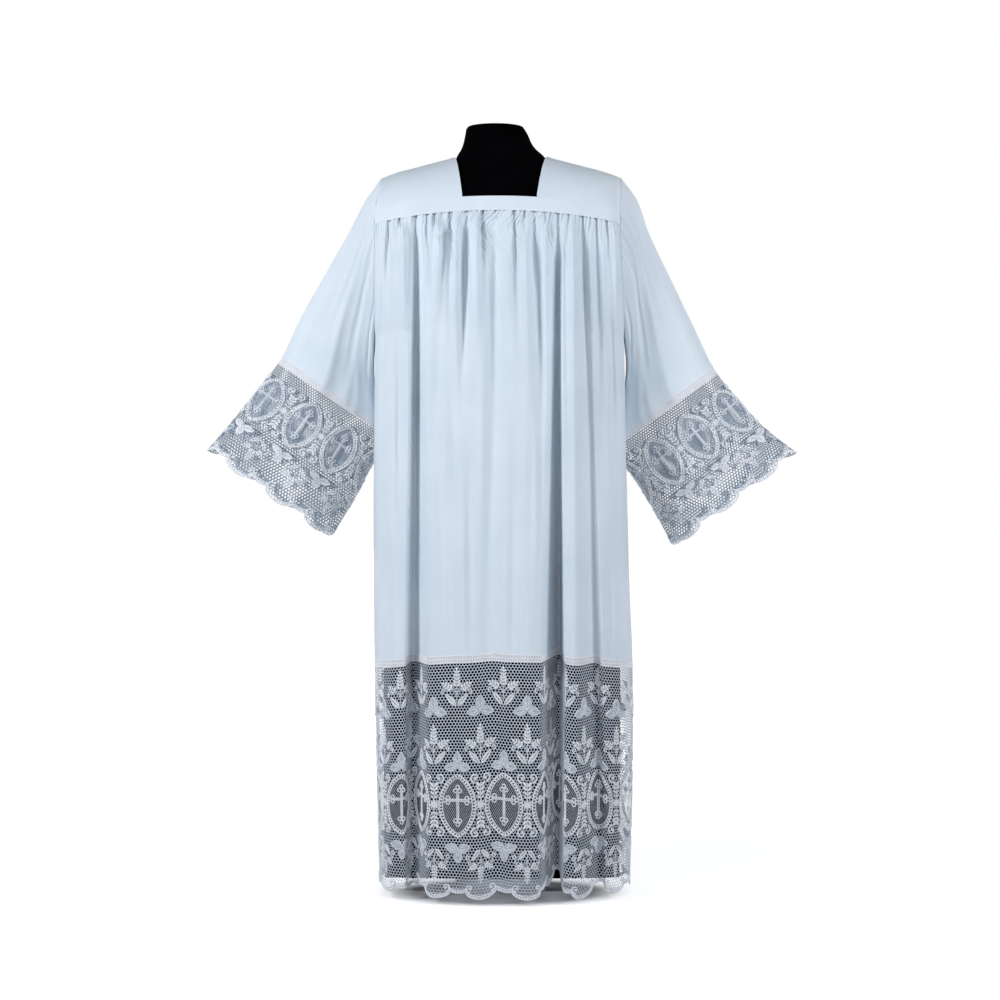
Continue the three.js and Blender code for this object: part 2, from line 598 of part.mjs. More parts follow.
// One ring of the dress form: front from left to right, then back from right to left
function formRing(pointAt) {
  const ring = [];
  for (const sign of [-1, 1]) {
    for (let step = 0; step <= FORM_COLUMNS; step += 1) {
      ring.push(pointAt(sign, -sign * Math.PI * (step / FORM_COLUMNS - 0.5)));
    }
  }
  return ring;
}

function formBody() {
  const spread = (turn) => Math.sign(turn) * Math.abs(Math.sin(turn)) ** (2 / SQUARENESS);
  const rings = [...FORM].reverse().map((row) =>
    formRing((sign, turn) => {
      const depth = sign < 0 ? row.front : row.back;
      const x = (row.left + row.right + spread(turn) * (row.right - row.left)) / 2;
      const y = sign * (row.plate + (depth - row.plate) * Math.abs(Math.cos(turn)) ** (2 / SQUARENESS));
      return new THREE.Vector3(x, y, row.z);
    }),
  );
  const inset = WALL + FORM_CLEARANCE;
  for (const level of [...FORM_LEVELS].reverse()) {
    rings.push(
      formRing((sign, turn) => {
        const angle = sign * Math.max(level, 1e-6);
        const left = yokeEdge(-1, angle) + FORM_TIP_INSET;
        const right = yokeEdge(1, angle) - FORM_TIP_INSET;
        const x = (left + right + spread(turn) * (right - left)) / 2;
        return yokePoint(x, angle, inset, FORM_FRONT_EASE);
      }),
    );
  }
  return toSolid(loft(rings, false));
}

function neckStump() {
  const rings = NECK.map((row) => {
    const ring = [];
    for (let step = 0; step < NECK_SIDES; step += 1) {
      const turn = (step / NECK_SIDES) * 2 * Math.PI;
      const x = (row.left + row.right + Math.cos(turn) * (row.right - row.left)) / 2;
      ring.push(new THREE.Vector3(x, row.depth * Math.sin(turn) + RIDGE_SETBACK, row.z));
    }
    return ring;
  });
  return toSolid(loft(rings));
}

// A flat oval disc with a bevelled upper rim
function disc(halfWidth, halfDepth, low, high, bevel, x = 0, y = 0) {
  const ring = (inset, z) =>
    Array.from({ length: BASE_SIDES }, (_, step) => {
      const turn = (step / BASE_SIDES) * 2 * Math.PI;
      return new THREE.Vector3(
        x + (halfWidth - inset) * Math.cos(turn),
        y + (halfDepth - inset) * Math.sin(turn),
        z,
      );
    });
  return loft([ring(0, low), ring(0, high - bevel), ring(bevel, high)]);
}

const finish = (color, roughness, metalness = 0) => new THREE.MeshStandardMaterial({ color, roughness, metalness });
const cotton = () => finish(0xd8e6f3, 0.85);
const lace = () => finish(0xe6eef6, 0.8);
const velvet = () => finish(0x0a0a0c, 0.9);
const steel = () => finish(0xc4c9cf, 0.5, 0.2);

const alb = new THREE.Group();
alb.name = "lace_alb";
const add = (name, geometry, material) => {
  const mesh = new THREE.Mesh(geometry, material);
  mesh.name = name;
  alb.add(mesh);
};

add("yoke_shoulder_left", shoulderPiece(-1), cotton());
add("yoke_shoulder_right", shoulderPiece(1), cotton());
add("yoke_band_front", frontBand(), cotton());
add("yoke_back", backYoke(), cotton());
add("front_panel", bodyPanel(FRONT, FRONT_ROWS), cotton());
add("back_panel", bodyPanel(BACK, BACK_ROWS), cotton());
add("skirt_trim_front", joinTrim(FRONT), lace());
add("skirt_trim_back", joinTrim(BACK), lace());
add("lace_flounce_front", laceFlounce(FRONT), lace());
add("lace_flounce_back", laceFlounce(BACK), lace());
for (const [name, table, side] of [["left", SLEEVE_LEFT, -1], ["right", SLEEVE_RIGHT, 1]]) {
  add(`sleeve_${name}`, sleeve(table, side), cotton());
  add(`cuff_trim_${name}`, cuffTrim(table, side), lace());
  add(`cuff_lace_${name}`, cuffLace(table, side), lace());
}
add("form_body", fromSolid(formBody().add(neckStump())), velvet());
const neckTop = NECK.at(-1);
add(
  "form_neck_cap",
  disc(
    (neckTop.right - neckTop.left) / 2 - CAP_INSET,
    neckTop.depth - CAP_INSET,
    neckTop.z + SEAM_GAP,
    neckTop.z + SEAM_GAP + CAP_THICKNESS,
    RIM_BEVEL,
    (neckTop.left + neckTop.right) / 2,
    RIDGE_SETBACK,
  ),
  velvet(),
);
const baseY = (FORM.at(-1).back - FORM.at(-1).front) / 2;
add("form_base", disc(BASE_HALF_WIDTH, BASE_HALF_DEPTH, 0, BASE_THICKNESS, BASE_BEVEL, 0, baseY), steel());
alb.position.set(ORIGIN.x, ORIGIN.y, 0);

export default alb;
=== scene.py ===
"""Lace alb on a limbless dress form: gathered cotton, wide sleeves and deep net lace with raised motifs.

Sizes are in millimetres in the row frame, with +Z up and the front facing -Y, and meshes are made in metres.
The cloth follows the same tables and formulas as the solids, with finer pleats, and the lace is real threads.
"""

import logging
import math
from collections.abc import Callable, Sequence
from dataclasses import dataclass, field
from enum import Enum

import bpy
import numpy as np
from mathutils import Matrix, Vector


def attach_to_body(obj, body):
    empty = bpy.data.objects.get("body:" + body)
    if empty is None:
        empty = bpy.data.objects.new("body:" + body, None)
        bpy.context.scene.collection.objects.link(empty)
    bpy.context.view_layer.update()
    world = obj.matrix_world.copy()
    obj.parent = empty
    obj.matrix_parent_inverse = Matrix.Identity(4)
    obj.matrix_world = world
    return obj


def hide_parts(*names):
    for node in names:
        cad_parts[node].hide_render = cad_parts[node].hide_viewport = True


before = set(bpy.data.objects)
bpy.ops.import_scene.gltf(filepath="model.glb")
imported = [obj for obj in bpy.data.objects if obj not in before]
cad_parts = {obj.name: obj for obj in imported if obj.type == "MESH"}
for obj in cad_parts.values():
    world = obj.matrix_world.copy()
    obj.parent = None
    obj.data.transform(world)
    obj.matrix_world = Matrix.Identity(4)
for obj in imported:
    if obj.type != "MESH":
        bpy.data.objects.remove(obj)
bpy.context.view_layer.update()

logging.basicConfig(level=logging.INFO, format="%(message)s")
LOG = logging.getLogger("lace_alb")

MM = 0.001
ORIGIN = np.array([0.1, 1.2, 0.0])
ROOT = "root"

SQUARENESS = 2.5
SEAM_HEIGHT = 1347.0
UNDERARM_HEIGHT = 1130.0
ARMHOLE_HALF_DEPTH = 62.0
NECK_POINT_HEIGHT = 1490.0
NECK_POINT_X = 100.0
SHOULDER_SLOPE = 0.262
TIP_ROUNDING_FROM = 200.0
TIP_ROUNDING = 0.002
RIDGE_SETBACK = 5.0
RIDGE_REACH = 250.0
BAND_HEIGHT = 30.0
BAND_EDGE_ANGLE = -75.0
BACK_YOKE_ANGLE = 52.0
NECKLINE = {
    "topLeft": -99, "topRight": 95, "frontLeft": -79, "frontRight": 69, "backLeft": -84, "backRight": 80,
}
JOIN_HEIGHT = 458.0
TRIM_HEIGHT = 15.0
HEM_HEIGHT = 18.0
SEAM_GAP = 0.3
GAP_ANGLE = 0.5
CLOTH = 1.2

SCALLOP_DEPTH = 16.0
SMALL_SCALLOP_DEPTH = 5.0
LARGE_SCALLOP_SHARE = 0.667
LACE_PHASE = 0.375
REPEAT = 96.0
SKIRT_LACE_DEPTH = 468.0
CUFF_LACE_DEPTH = 255.0
CUFF_TRIM = 0.055
FRONT_REPEATS = 10
BACK_REPEATS = 9
CUFF_REPEATS = 7
CUFF_THREAD_WIDTH = 1.9  # the cuffs' net is coarser, and so is the close net in their medallions
CUFF_FINE_WIDTH = 1.5
ARMHOLE_GAP = 0.5
ARMHOLE_BLEND = 0.12

# Flat sizes of the cut pieces in metres, width by length
BAND_CUT = (0.52, 0.03)
BACK_YOKE_CUT = (0.51, 0.08)
FRONT_LACE_CUT = (0.98, 0.468)
BACK_LACE_CUT = (0.87, 0.468)
CUFF_CUT = (0.67, 0.255)

Array = np.ndarray


class Table:
    """A table of sizes with named columns, read smoothly between its rows."""

    def __init__(self, names: str, rows: Sequence[tuple[float, ...]]) -> None:
        """Keep the rows by column name; the first column is the place that the others are read at."""
        self.names = names.split()
        self.rows = [dict(zip(self.names, row)) for row in rows]
        self.columns = {name: np.array([row[name] for row in self.rows], dtype=float) for name in self.names}

    def smooth(self, name: str, at: Array | float) -> Array:
        """Read a column on a smooth curve: a cubic between two rows, its slopes from the rows beside them.

        Args:
            name: the column to read.
            at: places along the first column, held inside the table.

        Returns:
            The column's values at those places.
        """
        key = self.columns[self.names[0]]
        values = self.columns[name]
        if key[0] > key[-1]:
            key, values = key[::-1], values[::-1]
        before = np.maximum(np.arange(len(key)) - 1, 0)
        after = np.minimum(np.arange(len(key)) + 1, len(key) - 1)
        slopes = (values[after] - values[before]) / (key[after] - key[before])
        low = np.clip(np.searchsorted(key, at, side="right") - 1, 0, len(key) - 2)
        span = key[low + 1] - key[low]
        t = np.clip((at - key[low]) / span, 0, 1)
        ends = (2 * t**3 - 3 * t**2 + 1) * values[low] + (3 * t**2 - 2 * t**3) * values[low + 1]
        turns = (t**3 - 2 * t**2 + t) * slopes[low] + (t**3 - t**2) * slopes[low + 1]
        return ends + turns * span


BODY = Table("z left right front back", [
    (1449, -243, 241, 112, 106), (1347, -254, 236, 118, 112), (1130, -257, 247, 128, 122),
    (880, -260, 252, 138, 130), (640, -260, 258, 145, 136), (458, -258, 265, 150, 142),
    (240, -253, 264, 154, 148), (18, -248, 259, 157, 153),
])
RISE = Table("z rise lift", [(1347, 22, 0), (458, 20, 0.35), (18, -5, 1)])
FRONT_FOLDS = Table("start topX hemX topHalf hemHalf depth lean lift", [
    (1352, -168, -169, 12, 28, 60, -8, 14), (1300, 108, 97, 10, 27, 103, 14, 30),
    (1340, 140, 144, 16, 24, -13, 0, -4), (1350, 160, 188, 12, 24, 26, 6, 12),
    (1300, -40, -10, 22, 34, 10, 0, 4), (1250, 40, 50, 22, 30, -8, 0, 0),
    (1250, -90, -62, 18, 28, -7, 0, 0), (1300, -215, -222, 16, 22, -8, 0, 0),
])
BACK_FOLDS = Table("start topX hemX topHalf hemHalf depth lean lift", [
    (1340, -150, -158, 12, 28, 42, -8, 10), (1320, -52, -44, 12, 28, 52, 6, 14),
    (1300, 12, 8, 18, 24, -9, 0, 0), (1350, 66, 74, 12, 28, 46, -6, 12),
    (1320, 160, 172, 14, 28, 34, 6, 10),
])
# Pleats and creases that only show close up: from a top height to a low one, with their place and half width
# at both. A positive depth is a trough. "rise" is the share of the length that it takes to reach its depth.
FRONT_PLEATS = Table("top low topX lowX topHalf lowHalf depth rise", [
    (1372, 1150, -224, -232, 4.5, 11, 12, 0.03), (1372, 1240, -205, -200, 4, 9, 9, 0.03),
    (1372, 1150, -173, -170, 6, 13, 12, 0.05), (1350, 600, -171, -167, 9, 22, 34, 0.35),
    (1372, 1270, -150, -146, 3.5, 9, 8, 0.03), (1372, 1220, -135, -128, 4, 11, 11, 0.03),
    (1372, 1160, -104, -98, 4.5, 13, 15, 0.03), (1372, 1120, -69, -76, 5, 12, 14, 0.04),
    (1330, 880, -72, -82, 8, 16, 16, 0.2), (1372, 1200, -37, -44, 4, 13, 14, 0.03),
    (1372, 1290, -12, -12, 3.5, 8, 7, 0.03), (1372, 1160, 22, 34, 4.5, 11, 15, 0.03),
    (1372, 1250, 44, 44, 3.5, 10, 9, 0.03), (1372, 1180, 63, 66, 4.5, 12, 13, 0.03),
    (1372, 1260, 84, 88, 3.5, 10, 10, 0.03), (1372, 1130, 110, 112, 5, 13, 12, 0.05),
    (1330, 860, 112, 112, 8, 15, 14, 0.2), (1372, 1270, 132, 130, 3.5, 9, 7, 0.03),
    (1372, 1150, 159, 162, 5, 12, 13, 0.04), (1330, 900, 162, 168, 8, 14, 13, 0.2),
    (1372, 1180, 186, 190, 4.5, 11, 12, 0.03), (1372, 1220, 207, 210, 4, 9, 9, 0.03),
    (1350, 980, -196, -196, 12, 19, -19, 0.1), (1350, 1020, -126, -130, 11, 18, -19, 0.1),
    (1350, 900, -90, -98, 10, 17, -17, 0.1), (1345, 1000, -50, -48, 11, 18, -16, 0.1),
    (1350, 820, 44, 54, 15, 27, -21, 0.15), (1350, 980, 86, 84, 11, 17, -15, 0.1),
    (1350, 640, 138, 144, 13, 21, -20, 0.12), (1350, 940, 224, 232, 10, 15, -12, 0.1),
    (1340, 560, -20, -8, 14, 32, 20, 0.15), (1330, 780, 186, 200, 11, 17, 16, 0.1),
    (1300, 660, -124, -134, 14, 22, 12, 0.3), (1270, 700, 74, 78, 12, 19, 11, 0.3),
    (1200, 480, -98, -94, 12, 19, 9, 0.35), (1120, 420, -40, -38, 13, 20, -8, 0.35),
    (1040, 400, 26, 32, 12, 19, 7, 0.35), (1240, 560, 216, 230, 9, 13, 9, 0.3),
    (1290, 700, -238, -240, 7, 11, 8, 0.3), (1150, 480, -206, -208, 10, 15, 8, 0.35),
    (980, 400, 68, 64, 10, 16, -7, 0.4), (940, 400, -134, -130, 11, 17, -7, 0.4),
    (860, 300, -66, -62, 10, 16, 6, 0.4), (820, 300, 8, 10, 10, 16, -6, 0.4),
    (760, 250, 224, 228, 8, 12, -5, 0.4), (700, 120, 40, 42, 10, 15, 6, 0.4),
])
BACK_PLEATS = Table("top low topX lowX topHalf lowHalf depth rise", [
    (1372, 1180, -218, -224, 4.5, 11, 10, 0.03), (1372, 1265, -190, -188, 3.5, 9, 8, 0.03),
    (1372, 1020, -158, -156, 5.5, 14, 15, 0.05), (1372, 1240, -128, -122, 4, 11, 9, 0.03),
    (1372, 1200, -96, -92, 4.5, 12, 11, 0.03), (1372, 1275, -74, -74, 3.5, 9, 7, 0.03),
    (1372, 980, -50, -52, 5.5, 14, 14, 0.05), (1372, 1245, -20, -16, 4, 11, 9, 0.03),
    (1372, 1160, 8, 4, 4.5, 13, 11, 0.03), (1372, 1260, 36, 40, 3.5, 10, 8, 0.03),
    (1372, 1000, 68, 68, 5.5, 14, 14, 0.05), (1372, 1230, 98, 104, 4, 11, 9, 0.03),
    (1372, 1270, 128, 128, 3.5, 9, 7, 0.03), (1372, 1060, 160, 164, 5, 13, 13, 0.04),
    (1372, 1210, 196, 202, 4.5, 11, 10, 0.03), (1290, 700, -106, -112, 13, 20, 9, 0.25),
    (1330, 820, -10, -14, 12, 22, 10, 0.2), (1310, 760, 116, 122, 12, 20, 9, 0.25),
    (1350, 1000, -140, -138, 10, 16, -8, 0.1), (1350, 940, -34, -36, 10, 18, -8, 0.1),
    (1350, 1020, 84, 86, 10, 16, -8, 0.1), (1350, 960, 178, 186, 10, 16, -8, 0.1),
    (1180, 460, 30, 34, 11, 17, 7, 0.35), (1200, 520, -206, -212, 9, 13, 6, 0.3),
    (1230, 560, 206, 216, 9, 13, 6, 0.3), (980, 400, -84, -80, 10, 15, -5, 0.4),
    (860, 300, 100, 104, 9, 14, 5, 0.4), (800, 300, -20, -16, 9, 14, -5, 0.4),
])
PLEAT_COUNT_FRONT = 56
PLEAT_COUNT_BACK = 50
FRONT_GRID = (420, 96)  # columns and rows of a body panel
BACK_GRID = (340, 70)

SLEEVE_LEFT = Table("down tx ty tz bx by bz front back widest", [
    (0, -243, 0, 1449, -257, 0, 1130, 62, 62, 0.68), (0.12, -276, 1, 1406, -262, 26, 1078, 66, 62, 0.64),
    (0.28, -312, 2, 1338, -262, 56, 1040, 66, 62, 0.58), (0.5, -361, 4, 1252, -257, 82, 1005, 62, 58, 0.54),
    (0.75, -410, 7, 1165, -247, 96, 972, 58, 54, 0.5), (1, -448, 10, 1086, -240, 103, 940, 54, 50, 0.5),
    (1.33, -494, 11, 1027, -268, 95, 873, 56, 50, 0.5), (1.67, -543, 12, 965, -307, 86, 797, 58, 50, 0.5),
    (2, -602, 14, 897, -356, 80, 716, 60, 50, 0.5),
])
SLEEVE_RIGHT = Table("down tx ty tz bx by bz front back widest", [
    (0, 241, 0, 1449, 247, 0, 1130, 62, 62, 0.68), (0.12, 274, 1, 1406, 254, 26, 1078, 66, 62, 0.64),
    (0.28, 299, 2, 1338, 253, 54, 1035, 66, 62, 0.58), (0.5, 340, 4, 1252, 244, 78, 995, 62, 58, 0.54),
    (0.75, 385, 7, 1159, 235, 90, 955, 58, 54, 0.5), (1, 430, 10, 1066, 226, 97, 912, 54, 50, 0.5),
    (1.33, 479, 11, 1004, 270, 92, 848, 56, 50, 0.5), (1.67, 533, 12, 945, 315, 86, 775, 58, 50, 0.5),
    (2, 602, 14, 892, 356, 80, 697, 60, 50, 0.5),
])
# Folds along a sleeve: where they run, the angle from its top edge at both ends, the half width in degrees
# and the depth
SLEEVE_FOLDS = Table("from to angle endAngle half depth", [
    (0, 1.1, 48, 48, 18, 6), (0.05, 2.4, 84, 84, 16, 8), (0.3, 2.6, 116, 116, 18, 7),
    (0.2, 2.4, 236, 236, 20, 7), (0, 2, 290, 290, 22, 8),
    (-0.15, 0.5, 30, 40, 7, 4), (-0.12, 0.72, 66, 60, 7, 5), (-0.1, 0.9, 99, 92, 8, 5),
    (0.3, 1.25, 70, 72, 7, -3), (0.45, 1.4, 100, 101, 7, 3.5), (-0.1, 0.6, 132, 124, 8, 4),
    (-0.15, 0.6, 318, 310, 8, 4), (-0.1, 0.9, 262, 268, 8, 5), (0.3, 1.3, 214, 216, 8, 3.5),
    (0.5, 1.5, 40, 38, 7, 2.5), (0.4, 1.5, 330, 330, 9, 2.5),
])

FORM_CLEARANCE = 0.4
FORM_FRONT_EASE = 12.0
FORM_TIP_INSET = 8.0
SOLID_CLOTH = 1.5  # the solids' wall, under which the form starts
BASE_THICKNESS = 30.0
CAP_THICKNESS = 4.0
CAP_INSET = 2.0
FORM = Table("z left right front back plate", [
    (1346, -246, 228, 106, 100, 50), (1240, -244, 232, 96, 98, 44), (1130, -234, 228, 88, 96, 4),
    (1000, -214, 208, 72, 84, 2), (880, -216, 212, 56, 78, 2), (700, -232, 232, 42, 80, 2),
    (458, -240, 240, 24, 76, 2), (240, -240, 240, 22, 76, 2),
    (BASE_THICKNESS + SEAM_GAP, -238, 238, 22, 76, 2),
])
NECK = Table("z left right depth", [
    (1440, -98, 92, 74), (1486, -94, 89, 66), (1496, -91, 84, 62), (1507, -84, 71, 59),
    (1520, -79, 61, 56), (1538, -75, 53, 54), (1550, -73, 46, 53),
])


class Slot(str, Enum):
    """The record's material slots."""

    COTTON = "white_cotton"
    LACE = "white_lace"
    VELVET = "black_velvet"
    STEEL = "pale_steel"


def mix(start: Array | float, end: Array | float, share: Array | float) -> Array:
    """Blend two values evenly by a share from 0 to 1."""
    return start + (end - start) * share


def hump(distance: Array, half: Array | float) -> Array:
    """One soft hump, 1 in the middle and 0 past its half width: half of one plus a cosine."""
    return (1 + np.cos(np.pi * np.clip(np.abs(distance / half), 0, 1))) / 2


def unit(vectors: Array) -> Array:
    """Vectors of length one along the last axis."""
    return vectors / np.maximum(np.linalg.norm(vectors, axis=-1, keepdims=True), 1e-12)


def across(x: Array | float, z: Array | float) -> Array:
    """Across the body at a height: 0 in the middle, -1 and 1 at the side edges."""
    left, right = BODY.smooth("left", z), BODY.smooth("right", z)
    return np.clip((2 * x - left - right) / (right - left), -1, 1)


def armhole_half(z: Array | float) -> Array:
    """Half depth of the armhole at a height: a quarter ellipse from the yoke seam down to the underarm."""
    below = np.clip((SEAM_HEIGHT - z) / (SEAM_HEIGHT - UNDERARM_HEIGHT), 0, 1)
    return np.maximum(ARMHOLE_HALF_DEPTH * np.sqrt(1 - below**2), SEAM_GAP / 2)


def scallop(repeats: Array) -> Array:
    """Height of the lace's edge over its lowest points: a large arc and a small one in every repeat.

    Args:
        repeats: places along the lace, in repeats.

    Returns:
        The edge's height at those places.
    """
    phase = repeats - LACE_PHASE
    place = np.abs(phase - np.floor(phase) - 0.5)
    half = LARGE_SCALLOP_SHARE / 2
    large = SCALLOP_DEPTH * (1 - np.sqrt(np.clip(1 - (place / half) ** 2, 0, 1)))
    small = np.clip((0.5 - place) / (0.5 - half), 0, 1)
    return np.where(place < half, large, SCALLOP_DEPTH - SMALL_SCALLOP_DEPTH * np.sqrt(1 - small**2))


def srgb(code: str) -> tuple[float, float, float, float]:
    """Turn an sRGB hex code into the linear colour that a shader takes."""
    parts = [int(code[i : i + 2], 16) / 255 for i in (1, 3, 5)]
    linear = [part / 12.92 if part <= 0.04045 else ((part + 0.055) / 1.055) ** 2.4 for part in parts]
    return (*linear, 1.0)


def squarish(turn: Array) -> tuple[Array, Array]:
    """How far sideways and how far outwards a squarish oval reaches at a turn, as shares."""
    power = 2 / SQUARENESS
    return np.sign(turn) * np.abs(np.sin(turn)) ** power, np.abs(np.cos(turn)) ** power


def add_node(
    tree: bpy.types.NodeTree, kind: str, feeds: dict | None = None, **settings: object
) -> bpy.types.Node:
    """Add a node to a material.

    Args:
        tree: the material's node tree.
        kind: the node's type name.
        feeds: input name or number to a plain value or to another node's output.
        settings: the node's own properties.

    Returns:
        The new node.
    """
    node = tree.nodes.new(kind)
    for name, value in settings.items():
        setattr(node, name, value)
    for name, value in (feeds or {}).items():
        if isinstance(value, bpy.types.NodeSocket):
            tree.links.new(value, node.inputs[name])
        else:
            node.inputs[name].default_value = value
    return node


WAVE_PERIOD = 2 * math.pi / 20  # Blender's wave texture at scale 1
GRAIN_SIZE = 0.9
SLUB_SIZE = 7
SHEEN_ROUGHNESS = 0.5
TONE_ENDS = (0.32, 0.62)  # where the drift between a material's two tones starts and ends
WHITE = "#FFFFFF"


def object_place(tree: bpy.types.NodeTree) -> bpy.types.NodeSocket:
    """Places in the part itself, which stay with it as it moves."""
    return add_node(tree, "ShaderNodeTexCoord").outputs["Object"]


def flat_place(tree: bpy.types.NodeTree) -> bpy.types.NodeSocket:
    """Places on the cloth before it was sewn, in metres."""
    return add_node(tree, "ShaderNodeUVMap", uv_map="Flat").outputs["UV"]


def combine(
    tree: bpy.types.NodeTree, operation: str, first: bpy.types.NodeSocket, second: bpy.types.NodeSocket
) -> bpy.types.NodeSocket:
    """The sum or the product of two numbers in a material."""
    return add_node(tree, "ShaderNodeMath", {0: first, 1: second}, operation=operation).outputs[0]


def bands(
    tree: bpy.types.NodeTree, flat: bpy.types.NodeSocket, pitch: float, distortion: float, direction: str
) -> bpy.types.NodeSocket:
    """Even bands over the flat places, a pitch in millimetres apart and a little uneven."""
    feeds = {"Vector": flat, "Scale": WAVE_PERIOD / (pitch * MM), "Distortion": distortion}
    wave = add_node(tree, "ShaderNodeTexWave", feeds, wave_type="BANDS", bands_direction=direction)
    return wave.outputs["Fac"]


@dataclass(frozen=True)
class Finish:
    """What every material of the part has: a colour, how rough it is, and its fine relief."""

    name: str
    colour: str
    shade: str
    roughness: float
    sheen: float = 0.0
    metallic: float = 0.0
    specular: float = 0.4
    glow: float = 0.0
    patch: float = 60.0  # size of the soft colour changes
    relief: float = 0.1  # height of the fine relief

    def height(self, tree: bpy.types.NodeTree) -> bpy.types.NodeSocket:
        """Fine relief of the surface as a number from 0 to 1."""
        feeds = {"Vector": object_place(tree), "Scale": 1 / (GRAIN_SIZE * MM), "Detail": 3.0}
        return add_node(tree, "ShaderNodeTexNoise", feeds).outputs["Fac"]

    def shine(self, tree: bpy.types.NodeTree) -> bpy.types.NodeSocket | float:
        """How much light the surface gives off by itself."""
        return self.glow

    def build(self) -> bpy.types.Material:
        """Make the Blender material.

        Returns:
            A material whose colour drifts softly between two tones, over its fine relief.
        """
        material = bpy.data.materials.new(self.name)
        material.use_nodes = True
        tree = material.node_tree
        tree.nodes.clear()
        feeds = {"Vector": object_place(tree), "Scale": 1 / (self.patch * MM), "Detail": 4.0}
        drift = add_node(tree, "ShaderNodeTexNoise", feeds)
        tones = add_node(tree, "ShaderNodeValToRGB", {"Fac": drift.outputs["Fac"]})
        for stop, tone, end in zip(tones.color_ramp.elements, (self.shade, self.colour), TONE_ENDS):
            stop.color = srgb(tone)
            stop.position = end
        bump = add_node(tree, "ShaderNodeBump", {"Height": self.height(tree), "Distance": self.relief * MM})
        shader = add_node(tree, "ShaderNodeBsdfPrincipled", {
            "Base Color": tones.outputs["Color"], "Normal": bump.outputs["Normal"],
            "Roughness": self.roughness, "Metallic": self.metallic, "Specular IOR Level": self.specular,
            "Sheen Weight": self.sheen, "Sheen Roughness": SHEEN_ROUGHNESS,
            "Emission Color": srgb(WHITE), "Emission Strength": self.shine(tree),
        })
        add_node(tree, "ShaderNodeOutputMaterial", {"Surface": shader.outputs["BSDF"]})
        return material


@dataclass(frozen=True)
class Woven(Finish):
    """Plain weave: threads both ways along the cloth's own flat places."""

    pitch: float = 0.6

    def height(self, tree: bpy.types.NodeTree) -> bpy.types.NodeSocket:
        """Threads across and along the cloth, with a slub here and there.

        Args:
            tree: the material's node tree.

        Returns:
            The socket that holds the relief.
        """
        flat = flat_place(tree)
        feeds = {"Vector": flat, "Scale": 1 / (SLUB_SIZE * MM), "Detail": 2.0}
        slub = add_node(tree, "ShaderNodeTexNoise", feeds).outputs["Fac"]
        warp, weft = (bands(tree, flat, self.pitch, 0.4, direction) for direction in "XY")
        return combine(tree, "ADD", combine(tree, "ADD", warp, weft), slub)


@dataclass(frozen=True)
class Stitched(Finish):
    """Padded embroidery: close satin stitches side by side along each motif."""

    pitch: float = 0.9

    def height(self, tree: bpy.types.NodeTree) -> bpy.types.NodeSocket:
        """Stitches across a motif, from the motif's own flat places."""
        return bands(tree, flat_place(tree), self.pitch, 0.6, "Y")


@dataclass(frozen=True)
class Backdrop(Finish):
    """A floor with a painted glow that grows brighter away from the part until it meets the white behind it,
    and a painted shadow under the hem.
    """

    near: float = 700.0
    far: float = 2600.0
    white: float = 1.05
    painted_shadow_half_width: float = 250.0  # the hem's oval, inside which the glow is cut as a painted shadow of the skirt
    painted_shadow_half_depth: float = 160.0
    painted_shadow_from: float = 0.7
    painted_shadow_to: float = 1.06

    def shine(self, tree: bpy.types.NodeTree) -> bpy.types.NodeSocket | float:
        """Painted glow by the distance from the part's middle, seen but not cast on the part, with a painted
        shadow under the hem.

        Args:
            tree: the material's node tree.

        Returns:
            The socket that holds the strength of the glow.
        """
        place = object_place(tree)
        away = add_node(tree, "ShaderNodeVectorMath", {0: place}, operation="LENGTH")
        reach = add_node(tree, "ShaderNodeMapRange", {
            "Value": away.outputs["Value"], "From Min": self.near * MM, "From Max": self.far * MM,
            "To Min": self.glow, "To Max": self.white,
        }, interpolation_type="SMOOTHSTEP")
        oval = (1 / (self.painted_shadow_half_width * MM), 1 / (self.painted_shadow_half_depth * MM), 0)
        scaled = add_node(tree, "ShaderNodeVectorMath", {0: place, 1: oval}, operation="MULTIPLY")
        from_hem = add_node(tree, "ShaderNodeVectorMath", {0: scaled.outputs[0]}, operation="LENGTH")
        # No glow inside the hem's oval: a painted shadow under the skirt
        outside_painted_shadow = add_node(tree, "ShaderNodeMapRange", {
            "Value": from_hem.outputs["Value"], "From Min": self.painted_shadow_from, "From Max": self.painted_shadow_to,
        }, interpolation_type="SMOOTHSTEP")
        glow = combine(tree, "MULTIPLY", reach.outputs["Result"], outside_painted_shadow.outputs["Result"])
        seen = add_node(tree, "ShaderNodeLightPath").outputs["Is Camera Ray"]
        return combine(tree, "MULTIPLY", glow, seen)


# Thin washed cotton: a matt, faintly cool white in which the folds stay soft
COTTON = Woven(
    "white_cotton_batiste", "#E3ECF3", "#DBE6EE", 0.85, sheen=0.1, specular=0.2, patch=140, relief=0.06
)
# The same cotton doubled and pressed flat, a little brighter where two layers lie together
PRESSED = Woven(
    "white_cotton_doubled", "#E5EDF4", "#DEE8F0", 0.82, sheen=0.1, specular=0.2, patch=90, relief=0.06
)
# Machine-spun net thread, crisp, and a little greyer than the raised work as painted shade of its thin
# threads
NET_THREAD_PAINTED_SHADE = Finish("white_net_thread_painted_shade", "#D6DEE7", "#C6D0DC", 0.8, specular=0.2, patch=9, relief=0.12)
# The cuffs' net: the flounce's white thread, a tone greyer as painted shade, on which the white stitching
# stands out
CUFF_NET_PAINTED_SHADE = Finish("cuff_net_thread_painted_shade", "#A3B0BE", "#919FAE", 0.8, specular=0.2, patch=9, relief=0.12)
# Thick shiny thread of the raised motifs, bright where it faces the light
SATIN = Stitched("white_satin_stitch", "#FBFCFF", "#F1F5FB", 0.5, sheen=0.15, patch=14, relief=0.22)
